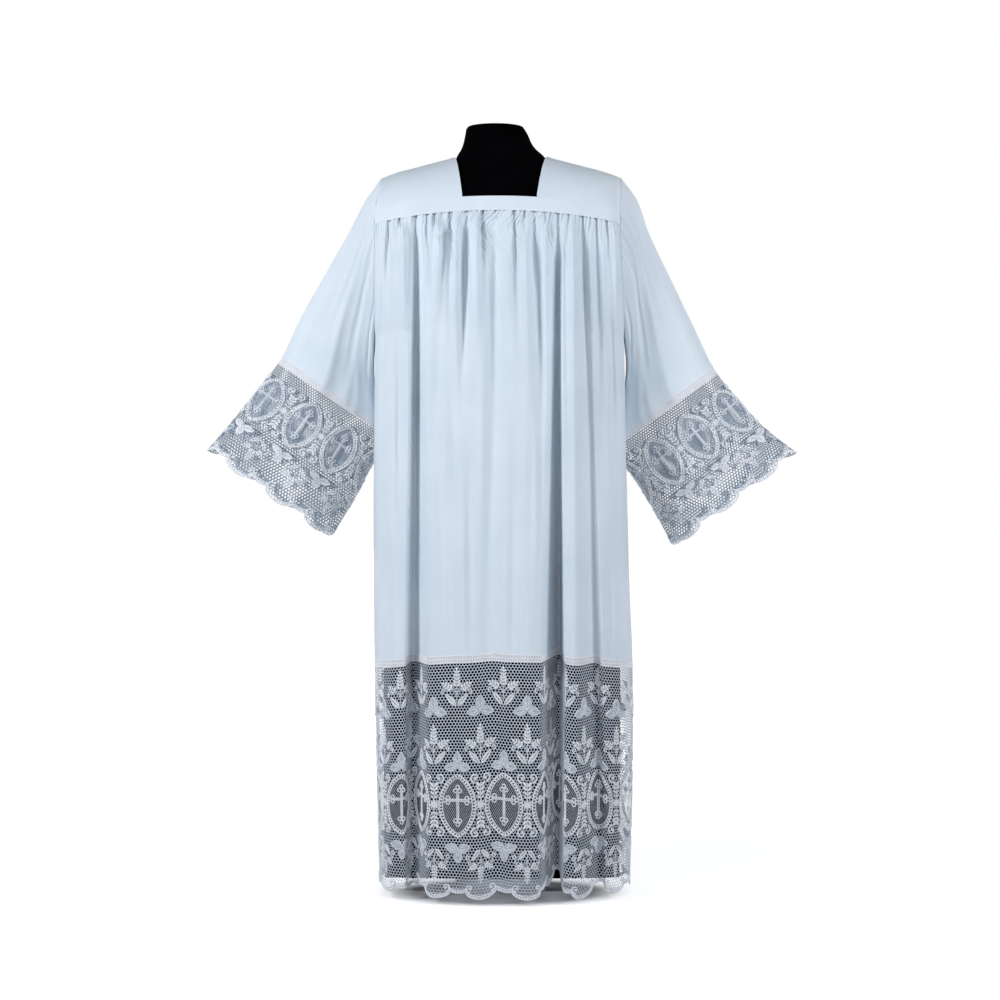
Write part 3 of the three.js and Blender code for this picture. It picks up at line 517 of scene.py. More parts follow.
# Cloth stitch that fills the broad leaves: the motifs' thread laid thinly, made greyer than the padded work
# as painted shade
CLOTH_STITCH_PAINTED_SHADE = Stitched("white_cloth_stitch_painted_shade", "#D3DAE1", "#C4CCD5", 0.7, specular=0.2, patch=10, relief=0.2)
# Black velvet of the form's cover, which swallows nearly all light
VELVET = Finish("black_form_velvet", "#040406", "#020203", 1.0, specular=0.02, patch=40, relief=0.25)
# Pale satin paint on the low base, which nearly disappears against the floor
STEEL = Finish("pale_painted_steel", "#C9CDD2", "#C2C7CC", 0.5, metallic=0.1, patch=60, relief=0.03)
# Pale studio floor with a painted glow, weaker near the part, and a painted shadow under the hem
FLOOR = Backdrop("pale_floor_with_painted_glow", "#DCDDDE", "#D8D9DA", 0.95, specular=0.1, glow=0.62, patch=900, relief=0.02)


@dataclass
class Sheet:
    """A mesh in the making, in millimetres, with the flat place of each point."""

    points: Array
    faces: Array
    flat: Array

    def triangles(self) -> "Sheet":
        """The same mesh with each face of four corners cut in two."""
        if self.faces.shape[1] == 3:
            return self
        return Sheet(self.points, np.vstack([self.faces[:, [0, 1, 2]], self.faces[:, [0, 2, 3]]]), self.flat)

    def place(
        self, u: float = 0, v: float = 0, turn: float = 0, scale: float = 1, mirror: bool = False
    ) -> "Sheet":
        """A copy that is scaled, mirrored from left to right if asked, turned clockwise and moved.

        Args:
            u: how far it is moved to the right.
            v: how far it is moved up.
            turn: clockwise, in degrees.
            scale: how many times as large it is.
            mirror: True for its mirror image.

        Returns:
            The copy.
        """
        points = self.points * scale
        faces = self.faces
        if mirror:
            points = points * [-1, 1, 1]
            faces = faces[:, ::-1]
        c, s = math.cos(math.radians(turn)), math.sin(math.radians(turn))
        turned = points @ np.array([[c, -s, 0], [s, c, 0], [0, 0, 1]])
        return Sheet(turned + [u, v, 0], faces, self.flat * scale)


def join(sheets: Sequence[Sheet]) -> Sheet:
    """One mesh of triangles from several.

    Args:
        sheets: the meshes.

    Returns:
        The joined mesh.
    """
    cut = [sheet.triangles() for sheet in sheets]
    starts = np.cumsum([0] + [len(sheet.points) for sheet in cut[:-1]])
    return Sheet(
        np.vstack([sheet.points for sheet in cut]),
        np.vstack([sheet.faces + start for sheet, start in zip(cut, starts)]),
        np.vstack([sheet.flat for sheet in cut]),
    )


def grid_faces(rows: int, columns: int, closed: bool = False) -> Array:
    """Faces of four corners over a grid of points, wrapped round if it is closed.

    Args:
        rows: of points.
        columns: of points.
        closed: True if the last column meets the first.

    Returns:
        The faces, by number of their points.
    """
    i, j = np.meshgrid(np.arange(rows - 1), np.arange(columns if closed else columns - 1), indexing="ij")
    i, j = i.ravel(), j.ravel()
    following = (j + 1) % columns
    upper, lower = i * columns, (i + 1) * columns
    return np.stack([upper + j, upper + following, lower + following, lower + j], axis=1)


def grid_normals(places: Array, outwards: Array, closed: bool = False) -> Array:
    """Outward directions over a grid: the cross product of the steps along and down it.

    Args:
        places: rows of points.
        outwards: a rough way out at each point.
        closed: True if the last column meets the first.

    Returns:
        A vector of length one for each point.
    """
    if closed:
        along = np.roll(places, -1, axis=1) - np.roll(places, 1, axis=1)
    else:
        along = np.gradient(places, axis=1)
    normals = unit(np.cross(along, np.gradient(places, axis=0)))
    wrong = np.sum(normals * outwards, axis=-1, keepdims=True) < 0
    return np.where(wrong, -normals, normals)


def wall(outer: Array, outwards: Array, flat: Array, closed: bool = False) -> Sheet:
    """A thin closed wall: the outer grid, an inner one moved back along the normals, and the rims between.

    Args:
        outer: rows of outer points.
        outwards: a rough way out at each point.
        flat: flat places of the same points.
        closed: True for a tube.

    Returns:
        The wall with its faces outwards.
    """
    rows, columns = outer.shape[:2]
    normals = grid_normals(outer, outwards, closed)
    inner = outer - normals * CLOTH
    face = grid_faces(rows, columns, closed)
    middle = face[len(face) // 2]
    corners = outer.reshape(-1, 3)[middle]
    lookout = np.cross(corners[1] - corners[0], corners[3] - corners[0])
    flipped = np.dot(lookout, normals.reshape(-1, 3)[middle[0]]) < 0
    count = rows * columns
    across_row = np.arange(columns if closed else columns - 1)
    beside = (across_row + 1) % columns
    top = np.stack([beside, across_row, across_row + count, beside + count], 1)
    low = (rows - 1) * columns
    bottom = np.stack([across_row + low, beside + low, beside + low + count, across_row + low + count], 1)
    rims = [top, bottom]
    if not closed:
        down = np.arange(rows - 1) * columns
        rims.append(np.stack([down, down + columns, down + columns + count, down + count], 1))
        end = down + columns - 1
        rims.append(np.stack([end + columns, end, end + count, end + columns + count], 1))
    rim = np.vstack(rims)
    if flipped:
        face, rim = face[:, ::-1], rim[:, ::-1]
    faces = np.vstack([face, face[:, ::-1] + count, rim])
    both = np.vstack([outer.reshape(-1, 3), inner.reshape(-1, 3)])
    return Sheet(both, faces, np.vstack([flat.reshape(-1, 2)] * 2))


def surface_area(sheet: Sheet) -> float:
    """Area of a mesh in square millimetres."""
    cut = sheet.triangles()
    a, b, c = (cut.points[cut.faces[:, k]] for k in range(3))
    return float(np.linalg.norm(np.cross(b - a, c - a), axis=1).sum() / 2)


SHARP_ANGLE = math.radians(55)


def build_object(
    name: str, sheet: Sheet, finish: bpy.types.Material, shifted: bool = True
) -> bpy.types.Object:
    """Make a Blender object from a mesh in millimetres.

    Args:
        name: the object's name.
        sheet: points, faces and flat places.
        finish: its material.
        shifted: True to add the shift that the whole part has.

    Returns:
        The object, at the origin, with a UV map of flat places in metres.
    """
    mesh = bpy.data.meshes.new(name)
    count, corners = sheet.faces.shape
    points = sheet.points + ORIGIN if shifted else sheet.points
    mesh.vertices.add(len(points))
    mesh.vertices.foreach_set("co", (points * MM).astype(np.float32).ravel())
    mesh.loops.add(count * corners)
    mesh.loops.foreach_set("vertex_index", sheet.faces.astype(np.int32).ravel())
    mesh.polygons.add(count)
    mesh.polygons.foreach_set("loop_start", np.arange(0, count * corners, corners, dtype=np.int32))
    mesh.polygons.foreach_set("use_smooth", np.ones(count, dtype=bool))
    flat = mesh.uv_layers.new(name="Flat")
    flat.data.foreach_set("uv", (sheet.flat[sheet.faces.ravel()] * MM).astype(np.float32).ravel())
    mesh.update(calc_edges=True)
    mesh.validate()
    mesh.set_sharp_from_angle(angle=SHARP_ANGLE)
    mesh.materials.append(finish)
    made = bpy.data.objects.new(name, mesh)
    bpy.context.scene.collection.objects.link(made)
    LOG.info("%s: %d triangles, %.4f square metres", name, count * (corners - 2), surface_area(sheet) * MM**2)
    return made


@dataclass
class SurfaceMap:
    """A cloth's places and outward directions on an even grid, read at any share down and along it."""

    places: Array
    normals: Array

    def read(self, down: Array, along: Array, out: Array | float = 0.0) -> Array:
        """Points of the cloth between the grid's own.

        Args:
            down: share of the way down the grid.
            along: share of the way along its rows.
            out: how far the points stand off the cloth.

        Returns:
            The points, blended evenly between the four nearest of the grid.
        """
        rows, columns = self.places.shape[:2]
        r = np.clip(down, 0, 1) * (rows - 1)
        c = np.clip(along, 0, 1) * (columns - 1)
        i = np.minimum(r.astype(int), rows - 2)
        j = np.minimum(c.astype(int), columns - 2)
        fr, fc = (r - i)[..., None], (c - j)[..., None]

        def blend(grid: Array) -> Array:
            upper = mix(grid[i, j], grid[i, j + 1], fc)
            return mix(upper, mix(grid[i + 1, j], grid[i + 1, j + 1], fc), fr)

        return blend(self.places) + unit(blend(self.normals)) * np.asarray(out)[..., None]


def even_row(points: Array, columns: int) -> Array:
    """Points at even running length along a row of points; further columns of the row are carried along."""
    steps = np.linalg.norm(np.diff(points[:, :3], axis=0), axis=1)
    length = np.concatenate([[0], np.cumsum(steps)])
    wanted = np.linspace(0, length[-1], columns)
    return np.stack([np.interp(wanted, length, points[:, k]) for k in range(points.shape[1])], axis=1)


@dataclass
class BodyHalf:
    """The front or the back of the body, from the yoke seam to the hem."""

    sign: int
    depth: str
    folds: Table
    pleats: Table
    pleat_count: int
    repeats: int
    first_repeat: int
    lowest: float = 6.0
    rows: int = 330
    columns: int = 1801
    steps: int = 1600
    tuck: float = 2.4
    top_room: float = 6.0  # how deep a pleat can be at the seam before it meets the form
    room_growth: float = 0.065  # how much deeper it can be for each millimetre further down
    lap: float = 3.0  # how far the cloth's upper edge reaches up under the yoke
    gather_reach: float = 70.0  # how far down the gathers fade out
    gather_size: float = 2.9
    tuck_reach: float = 4.0
    surface: SurfaceMap = field(init=False)

    def __post_init__(self) -> None:
        """Work out the cloth's places once, on a fine grid."""
        turn = np.pi * (np.linspace(0, 1, self.steps + 1) - 0.5)[None, :]
        z = np.linspace(SEAM_HEIGHT, self.lowest, self.rows)[:, None]
        left, right, deep = (BODY.smooth(name, z) for name in ("left", "right", self.depth))
        edge = armhole_half(z)
        aside, out = squarish(turn)
        x = (left + right + aside * (right - left)) / 2
        inwards, lean, lift = self.folded(x, z)
        y = self.sign * (edge + (deep - edge) * out - inwards)
        flat_line = np.stack([x + lean, y, np.zeros_like(y), lift], axis=-1)
        even = np.stack([even_row(row, self.columns) for row in flat_line])
        share = np.linspace(0, 1, self.columns)[None, :]
        x_even, y_even, lift_even = even[..., 0], even[..., 1], even[..., 3]
        middle = 1 - across(x_even, z) ** 2
        rise = RISE.smooth("rise", z) * middle + RISE.smooth("lift", z) * lift_even
        y_even = y_even + self.sign * self.gathered(share, z)
        places = np.stack([x_even, y_even, z + rise], axis=-1)
        outwards = np.stack([x_even * 0.3, y_even, np.zeros_like(y_even)], axis=-1)
        self.surface = SurfaceMap(places, grid_normals(places, outwards))

    def folded(self, x: Array, z: Array) -> tuple[Array, Array, Array]:
        """What the folds and pleats do at a place: how far inwards, how far sideways and how far up.

        Troughs are eased by a hyperbolic tangent, so that none is deeper than its room.

        Args:
            x: place across the body.
            z: height.

        Returns:
            The three shifts, in millimetres.
        """
        inwards, lean, lift = np.zeros((3, *np.broadcast_shapes(x.shape, z.shape)))
        for fold in self.folds.rows:
            grown = np.clip((fold["start"] - z) / (fold["start"] - JOIN_HEIGHT), 0, 1) ** 0.85
            down = np.clip((fold["start"] - z) / fold["start"], 0, 1)
            middle = mix(fold["topX"], fold["hemX"], down)
            shape = hump(x - middle, mix(fold["topHalf"], fold["hemHalf"], grown))
            inwards += fold["depth"] * grown * shape
            lean += fold["lean"] * grown * shape
            lift += fold["lift"] * shape
        pleated = np.zeros_like(inwards)
        for pleat in self.pleats.rows:
            t = (pleat["top"] - z) / (pleat["top"] - pleat["low"])
            run = np.clip(t / pleat["rise"], 0, 1) * np.clip((1 - t) / 0.75, 0, 1) ** 1.3
            t = np.clip(t, 0, 1)
            half = mix(pleat["topHalf"], pleat["lowHalf"], t)
            pleated += pleat["depth"] * run * hump(x - mix(pleat["topX"], pleat["lowX"], t), half)
        room = self.top_room + self.room_growth * (SEAM_HEIGHT - z)
        return inwards + np.where(pleated > 0, room * np.tanh(pleated / room), pleated), lean, lift

    def gathered(self, share: Array, z: Array) -> Array:
        """Small uneven gathers under the yoke: rounded ridges with narrow troughs, fading downwards.

        Formula: the square root of a folded cosine, its phase shifted by slow sines, times a falling
        exponential, less a tuck at the seam.

        Args:
            share: of the cloth's width.
            z: height.

        Returns:
            How far outwards the cloth stands.
        """
        below = SEAM_HEIGHT - z
        reach = self.gather_reach + 45 * np.sin(71 * share) * np.sin(29 * share + 1)
        phase = self.pleat_count * share + 0.32 * np.sin(53 * share) + 0.22 * np.sin(131 * share + 2)
        ridge = np.sqrt(np.abs(np.cos(np.pi * phase))) * 2 - 1.4
        size = self.gather_size + 1.1 * np.sin(37 * share + 1) * np.sin(83 * share)
        return size * ridge * np.exp(-below / reach) - self.tuck * np.exp(-below / self.tuck_reach)

    def read(self, share: Array, z: Array, out: Array | float = 0.0) -> Array:
        """Points of the cloth at a share of its width and a height before the rise towards the middle."""
        return self.surface.read((SEAM_HEIGHT - z) / (SEAM_HEIGHT - self.lowest), share, out)

    def panel(self, columns: int, rows: int) -> Sheet:
        """The cotton panel between the yoke seam and the join, closer rows near the gathers.

        Args:
            columns: of the cloth's points.
            rows: of the cloth's points.

        Returns:
            The panel.
        """
        top, bottom = SEAM_HEIGHT - 0.5, JOIN_HEIGHT + TRIM_HEIGHT + SEAM_GAP
        z = mix(top, bottom, np.linspace(0, 1, rows) ** 1.5)[:, None]
        share = np.linspace(0, 1, columns)[None, :]
        share, z = np.broadcast_arrays(share, z)
        outer = self.read(share, z)
        outer[0, :, 2] += self.lap
        outwards = outer * [0.3, 1, 0]
        flat = np.stack([share * self.repeats * REPEAT, z], axis=-1)
        return wall(outer, outwards, flat)


def yoke_point(x: Array, angle: Array, inset: float = 0.0, ease: float = 0.0) -> Array:
    """A point over the shoulder: a quarter ellipse from ridge to seam, forwards if the angle is negative.

    Args:
        x: place across the shoulders.
        angle: down from the ridge, in degrees.
        inset: how far the ridge is let down.
        ease: how far the seam is moved inwards.

    Returns:
        The points.
    """
    q = across(x, SEAM_HEIGHT)
    front = angle < 0
    sign = np.where(front, -1, 1)
    depth = np.where(front, BODY.smooth("front", SEAM_HEIGHT), BODY.smooth("back", SEAM_HEIGHT))
    out = (1 - np.abs(q) ** SQUARENESS) ** (1 / SQUARENESS)
    seam_y = sign * (ARMHOLE_HALF_DEPTH + (depth - ARMHOLE_HALF_DEPTH) * out - ease)
    seam_z = SEAM_HEIGHT + RISE.rows[0]["rise"] * (1 - q**2)
    ridge_y = RIDGE_SETBACK * (1 - np.abs(x) / RIDGE_REACH)
    rounding = TIP_ROUNDING * np.maximum(np.abs(x) - TIP_ROUNDING_FROM, 0) ** 2
    ridge_z = NECK_POINT_HEIGHT - SHOULDER_SLOPE * (np.abs(x) - NECK_POINT_X) - rounding - inset
    turn = np.radians(np.abs(angle))
    y = mix(ridge_y, seam_y, np.sin(turn))
    z = mix(seam_z, ridge_z, np.cos(turn))
    return np.stack(np.broadcast_arrays(x, y, z), axis=-1)


def armhole_point(side: int, angle: Array, outwards: float = 0.0) -> Array:
    """Edge of an armhole by angle from the ridge all round: over the yoke above, a half ellipse below.

    Args:
        side: -1 for the left, 1 for the right.
        angle: from the ridge, in degrees.
        outwards: how far the edge is moved away from the body.

    Returns:
        The points.
    """
    name = "left" if side < 0 else "right"

    def edge(z: Array | float) -> Array:
        return BODY.smooth(name, z) + side * outwards

    turn = (angle + 180) % 360 - 180
    z_yoke = yoke_point(edge(SEAM_HEIGHT), -turn)[..., 2]
    over = yoke_point(edge(z_yoke), -turn)
    z = SEAM_HEIGHT + (SEAM_HEIGHT - UNDERARM_HEIGHT) * np.cos(np.radians(turn))
    under = np.stack(np.broadcast_arrays(edge(z), -np.sign(turn) * armhole_half(z), z), axis=-1)
    return np.where((np.abs(turn) <= 90)[..., None], over, under)


def band_angle(x: Array) -> Array:
    """Angle down from the ridge at which the front band's upper edge lies."""
    ridge = yoke_point(x, np.zeros_like(x))[..., 2]
    seam = yoke_point(x, np.full_like(x, -90.0))[..., 2]
    return np.degrees(np.arccos(BAND_HEIGHT / (ridge - seam)))


def yoke_edge(side: int, angle: Array) -> Array:
    """Side edge of the yoke at an angle."""
    return armhole_point(side, np.where(angle < 0, -angle, 360 - angle))[..., 0]


def neckline_x(side: str, angle: Array) -> Array:
    """Neckline edge of a shoulder piece at an angle."""
    end = np.where(angle < 0, NECKLINE[f"front{side}"], NECKLINE[f"back{side}"])
    reach = np.clip(np.abs(angle) / np.where(angle < 0, -BAND_EDGE_ANGLE, BACK_YOKE_ANGLE), 0, 1)
    return mix(NECKLINE[f"top{side}"], end, reach)


def yoke_out(points: Array) -> Array:
    """A rough way out of the yoke."""
    return points * [0.1, 1, 1] - [0, 0, 1300]


@dataclass
class Yoke:
    """The flat top of the alb: two shoulder pieces, the front band, the back, and their sewing."""

    columns: int = 44
    rows: int = 40
    band_grid: tuple[int, int] = (150, 9)  # columns and rows
    back_grid: tuple[int, int] = (120, 22)
    hem_width: float = 7.0
    hem_rise: float = 0.7
    per_degree: float = 2.2  # length of a shoulder piece for each degree that it turns
    band_rise: float = 0.6
    back_rise: float = 0.3
    lap_angle: float = 1.2  # how far the shoulder pieces reach under the band and the back

    def shoulder(self, side: int) -> tuple[Array, Array]:
        """Points and flat places of a shoulder piece, raised along its turned-in neckline hem.

        Args:
            side: -1 for the left, 1 for the right.

        Returns:
            The points, and their flat places.
        """
        name = "Left" if side < 0 else "Right"
        t = np.sin(np.pi / 2 * np.linspace(0, 1, self.columns))[None, :]
        s = np.linspace(0, 1, self.rows)[:, None]
        first = mix(NECKLINE[f"front{name}"], yoke_edge(side, np.array(BAND_EDGE_ANGLE)), t)
        angle = mix(-band_angle(first) - self.lap_angle, BACK_YOKE_ANGLE + self.lap_angle, s)
        x = mix(neckline_x(name, angle), yoke_edge(side, angle), t)
        x = np.where(s == 0, first, x)
        points = yoke_point(x, angle)
        normals = grid_normals(points, yoke_out(points))
        from_neck = np.linalg.norm(points - points[:, :1], axis=-1)
        hem = self.hem_rise * np.clip((self.hem_width - from_neck) / 1.2, 0, 1)
        soft = 0.5 * np.sin(x * 0.11 + s * 5) * np.sin(s * 9 + x * 0.03) * np.sin(np.pi * t) ** 2
        points = points + normals * (hem + soft)[..., None]
        return points, np.stack([x, angle * self.per_degree], axis=-1)

    def band(self, low: bool) -> tuple[Array, Array]:
        """Points and flat places of the front band, or of the back of the yoke if it isn't low.

        Args:
            low: True for the front band, False for the back.

        Returns:
            The points, and their flat places.
        """
        columns, rows = self.band_grid if low else self.back_grid
        t = np.sin(np.pi * (np.linspace(0, 1, columns) - 0.5))[None, :]
        s = np.linspace(0, 1, rows)[:, None]
        upper, seam = (BAND_EDGE_ANGLE, -90.0) if low else (BACK_YOKE_ANGLE + GAP_ANGLE, 90.0)
        left, right = (yoke_edge(side, mix(upper, seam, s)) for side in (-1, 1))
        x = (left + right + t * (right - left)) / 2
        angle = mix(-band_angle(x) - GAP_ANGLE if low else upper, seam, s)
        points = yoke_point(x, angle * np.ones_like(x))
        normals = grid_normals(points, yoke_out(points))
        if low:
            rise = self.band_rise * np.clip(np.minimum(s, 1 - s) * 6 + 0.2, 0, 1)
        else:
            rise = self.back_rise * np.ones_like(x)
        puckers = 0.35 * np.sin(x * 0.42 + 2 * np.sin(x * 0.05)) * np.clip((s - 0.55) / 0.45, 0, 1)
        points = points + normals * (rise + puckers)[..., None]
        return points, np.stack(np.broadcast_arrays(x, points[..., 2]), axis=-1)

    def build(
        self, cotton: bpy.types.Material, pressed: bpy.types.Material, thread: bpy.types.Material
    ) -> None:
        """Make the four pieces and the rows of stitches on them.

        Args:
            cotton: finish of the single cloth.
            pressed: finish of the doubled band.
            thread: finish of the stitches.
        """
        for side, name in ((-1, "left"), (1, "right")):
            points, flat = self.shoulder(side)
            made = build_object(f"shoulder_{name}", wall(points, yoke_out(points), flat), cotton)
            declare(made, Slot.COTTON, [f"yoke_shoulder_{name}"])
            normals = grid_normals(points, yoke_out(points))
            rows = [stitch_row(points[:, place], normals[:, place]) for place in (5, -3)]
            attach(build_object(f"shoulder_stitches_{name}", join(rows), thread), Slot.COTTON)
        for low, name, node, size in ((True, "yoke_band", "yoke_band_front", BAND_CUT),
                                      (False, "yoke_back_cloth", "yoke_back", BACK_YOKE_CUT)):
            points, flat = self.band(low)
            made = build_object(name, wall(points, yoke_out(points), flat), pressed if low else cotton)
            declare(made, Slot.COTTON, [node])
            normals = grid_normals(points, yoke_out(points))
            places = (1, -2) if low else (-3,)
            rows = [stitch_row(points[place], normals[place]) for place in places]
            attach(build_object(f"{name}_stitches", join(rows), thread), Slot.COTTON)


def stitch_row(
    line: Array, normals: Array, pitch: float = 2.6, length: float = 1.9, width: float = 0.5
) -> Sheet:
    """A row of small stitches along a line on cloth, each a little raised lozenge.

    Args:
        line: points along the row.
        normals: the way out at each of them.
        pitch: from one stitch to the next.
        length: of a stitch.
        width: of a stitch.

    Returns:
        The stitches as one mesh.
    """
    run = np.linalg.norm(np.diff(line, axis=0), axis=1).sum()
    carried = even_row(np.hstack([line, normals]), max(int(run / pitch), 3))
    centre, out = carried[:, :3], unit(carried[:, 3:])
    along = unit(np.gradient(centre, axis=0))
    beside = np.cross(out, along)
    corners = np.stack([
        centre - along * length / 2 - out * 0.1,
        centre + beside * width / 2 - out * 0.1,
        centre + along * length / 2 - out * 0.1,
        centre - beside * width / 2 - out * 0.1,
        centre + out * width * 0.7,
    ], axis=1)
    pattern = np.array([[0, 3, 4], [3, 2, 4], [2, 1, 4], [1, 0, 4]])
    faces = (np.arange(len(centre)) * 5)[:, None, None] + pattern[None]
    flat = np.zeros((len(centre) * 5, 2))
    return Sheet(corners.reshape(-1, 3), faces.reshape(-1, 3), flat)


@dataclass
class Sleeve:
    """A wide sleeve from its armhole to the lace's edge, as one surface."""

    side: int
    name: str
    table: Table
    rows: int = 260
    columns: int = 721
    steps: int = 900
    lap: float = 1.8  # how far the sleeve's edge reaches under the body's
    gather_count: int = 33
    gather_size: float = 1.3
    gather_reach: float = 0.1
    tuck: float = 1.2
    tuck_reach: float = 0.012
    cotton_length: float = 270.0
    surface: SurfaceMap = field(init=False)

    def __post_init__(self) -> None:
        """Work out the cloth's places once, at even running length round each row."""
        down = np.linspace(0, 2, self.rows)[:, None]
        angle = np.linspace(0, 360, self.steps + 1)[None, :]
        rings = self.ring(down, angle)
        places = np.stack([even_row(ring, self.columns) for ring in rings])
        middle = places.mean(axis=1, keepdims=True)
        normals = grid_normals(places[:, :-1], places[:, :-1] - middle, closed=True)
        self.surface = SurfaceMap(places, np.concatenate([normals, normals[:, :1]], axis=1))

    def ring(self, down: Array, angle: Array) -> Array:
        """Points of the sleeve: an ellipse between its top and lower edges, less its folds.

        Args:
            down: place down the sleeve: 0 the armhole, 1 the join, 2 the lace's edge.
            angle: round it from its top edge, in degrees.

        Returns:
            The points.
        """
        read = {name: self.table.smooth(name, down) for name in self.table.names[1:]}
        top = np.stack([read["tx"], read["ty"], read["tz"]], axis=-1)
        low = np.stack([read["bx"], read["by"], read["bz"]], axis=-1)
        spine = unit(top - low)
        ahead = np.array([0.0, -1.0, 0.0])
        ahead = unit(ahead - np.sum(ahead * spine, axis=-1, keepdims=True) * spine)
        middle = mix(low, top, read["widest"][..., None])
        bulge = np.where(angle < 180, read["front"], read["back"])
        for fold in SLEEVE_FOLDS.rows:
            run = np.clip((down - fold["from"]) / (fold["to"] - fold["from"]), 0, 1)
            place = angle - mix(fold["angle"], fold["endAngle"], run)
            bulge = bulge - fold["depth"] * hump(place, fold["half"]) * np.sin(np.pi * run)
        turn = np.radians(angle)[..., None]
        end = np.where(np.cos(turn) > 0, top, low)
        point = mix(middle, end, np.abs(np.cos(turn))) + ahead * bulge[..., None] * np.sin(turn)
        opened = np.clip(down / ARMHOLE_BLEND, 0, 1)[..., None]
        armhole = armhole_point(self.side, np.where(angle >= 360, 0.0, angle), ARMHOLE_GAP)
        return mix(armhole, point, opened**2 * (3 - 2 * opened))

    def read(self, share: Array, down: Array, out: Array | float = 0.0) -> Array:
        """Points of the sleeve at a share of its round and a place down it."""
        return self.surface.read(down / 2, share, out)

    def cloth(self, columns: int = 132, rows: int = 58) -> Sheet:
        """The cotton part, tucked in at the armhole seam, with small gathers at the sleeve head.

        Args:
            columns: of the cloth's points.
            rows: of the cloth's points.

        Returns:
            The cotton part.
        """
        down = (0.9984 * np.linspace(0, 1, rows) ** 1.25)[:, None]
        share = (np.arange(columns) / columns)[None, :]
        share, down = np.broadcast_arrays(share, down)
        head = np.exp(-down / self.gather_reach)
        turns = self.gather_count * share + 0.4 * np.sin(19 * share)
        gathers = self.gather_size * np.cos(2 * np.pi * turns) * head * (down > 0)
        outer = self.read(share, down, gathers - self.tuck * np.exp(-down / self.tuck_reach))
        outer[0, :, 0] -= self.side * self.lap
        middle = outer.mean(axis=1, keepdims=True)
        flat = np.stack([share * CUFF_REPEATS * REPEAT, -down * self.cotton_length], axis=-1)
        return wall(outer, outer - middle, flat, closed=True)


@dataclass
class LaceGround:
    """Flat lace laid on the garment: u runs along it in millimetres, v up from the edge's lowest points."""

    repeats: int
    depth: float
    reader: Callable[[Array, Array, Array], Array]
    drop: float = 0.0

    def lay_motifs(self, sheet: Sheet) -> Sheet:
        """Motifs on the garment, with those over the edge moved down by the lace's drop."""
        points = sheet.points.copy()
        points[:, 1] = dropped(points[:, 1], self.drop)
        return self.lay(Sheet(points, sheet.faces, sheet.flat))

    def lay(self, sheet: Sheet) -> Sheet:
        """The same mesh on the garment."""
        u, v, out = sheet.points.T
        return Sheet(self.reader(u % (self.repeats * REPEAT) / REPEAT, v, out), sheet.faces, sheet.flat)


def skirt_ground(front: BodyHalf, back: BodyHalf) -> LaceGround:
    """The skirt's lace, once round both halves of the body.

    Args:
        front: the front of the body.
        back: the back of the body.

    Returns:
        The lace's ground.
    """

    def reader(repeat: Array, v: Array, out: Array) -> Array:
        z = HEM_HEIGHT + v * (JOIN_HEIGHT - HEM_HEIGHT) / SKIRT_LACE_DEPTH
        ahead = front.read(repeat / front.repeats, z, out)
        behind = back.read((back.first_repeat - repeat) / back.repeats, z, out)
        return np.where((repeat <= front.repeats)[..., None], ahead, behind)

    return LaceGround(front.repeats + back.repeats, SKIRT_LACE_DEPTH, reader)


def cuff_ground(sleeve: Sleeve) -> LaceGround:
    """A cuff's lace, once round the sleeve.

    Args:
        sleeve: the sleeve that it ends.

    Returns:
        The lace's ground.
    """

    def reader(repeat: Array, v: Array, out: Array) -> Array:
        down = 2 - v * (1 - CUFF_TRIM) / CUFF_LACE_DEPTH
        return sleeve.read(repeat / CUFF_REPEATS, down, out)

    return LaceGround(CUFF_REPEATS, CUFF_LACE_DEPTH, reader, CUFF_DROP)


MEDALLION_RISE = 184.0
MEDALLION_HALF_WIDTH = 38.0
MEDALLION_HALF_HEIGHT = 61.5
MEDALLION_POINT = 1.4  # above 1 the oval is pointed at both ends
BORDER = 7.0
EDGE_BAND = 7.0
NET_LAP = 3.0  # how far the net reaches up under the trim
MEDALLION_BEADS = 46
EDGE_BEADS = 20

# Where the other motifs of a repeat lie: heights over the edge's lowest points
ORNAMENT_RISE = 186.0
HANGING_SPRAY_RISE = 99.0
LOWER_SPRAY_RISE = 266.0
UPPER_SPRAY_RISE = 381.0
HANGING_TREFOIL_RISE = 98.0
LOWER_TREFOIL_RISE = 264.0
UPPER_TREFOIL_RISE = 374.0
RING_RISE = 84.0
RING_ASIDE = 21.0


def oval(steps: int, inset: float = 0.0) -> Array:
    """Points round the medallion: an ellipse whose width is drawn in towards its ends."""
    turn = np.linspace(0, 2 * np.pi, steps, endpoint=False)
    wide = (MEDALLION_HALF_WIDTH - inset) * np.sign(np.cos(turn)) * np.abs(np.cos(turn)) ** MEDALLION_POINT
    return np.stack([wide, (MEDALLION_HALF_HEIGHT - inset) * np.sin(turn)], axis=1)


def inside_medallion(u: Array, v: Array, inset: float) -> Array:
    """True where a place, from the medallion's middle, is inside its oval less an inset."""
    high = np.clip(np.abs(v) / (MEDALLION_HALF_HEIGHT - inset), 0, 1)
    wide = (MEDALLION_HALF_WIDTH - inset) * (1 - high**2) ** (MEDALLION_POINT / 2)
    return np.abs(u) < wide


NODE_POINTS = 4  # three corners and a raised middle
MIDDLE = 3


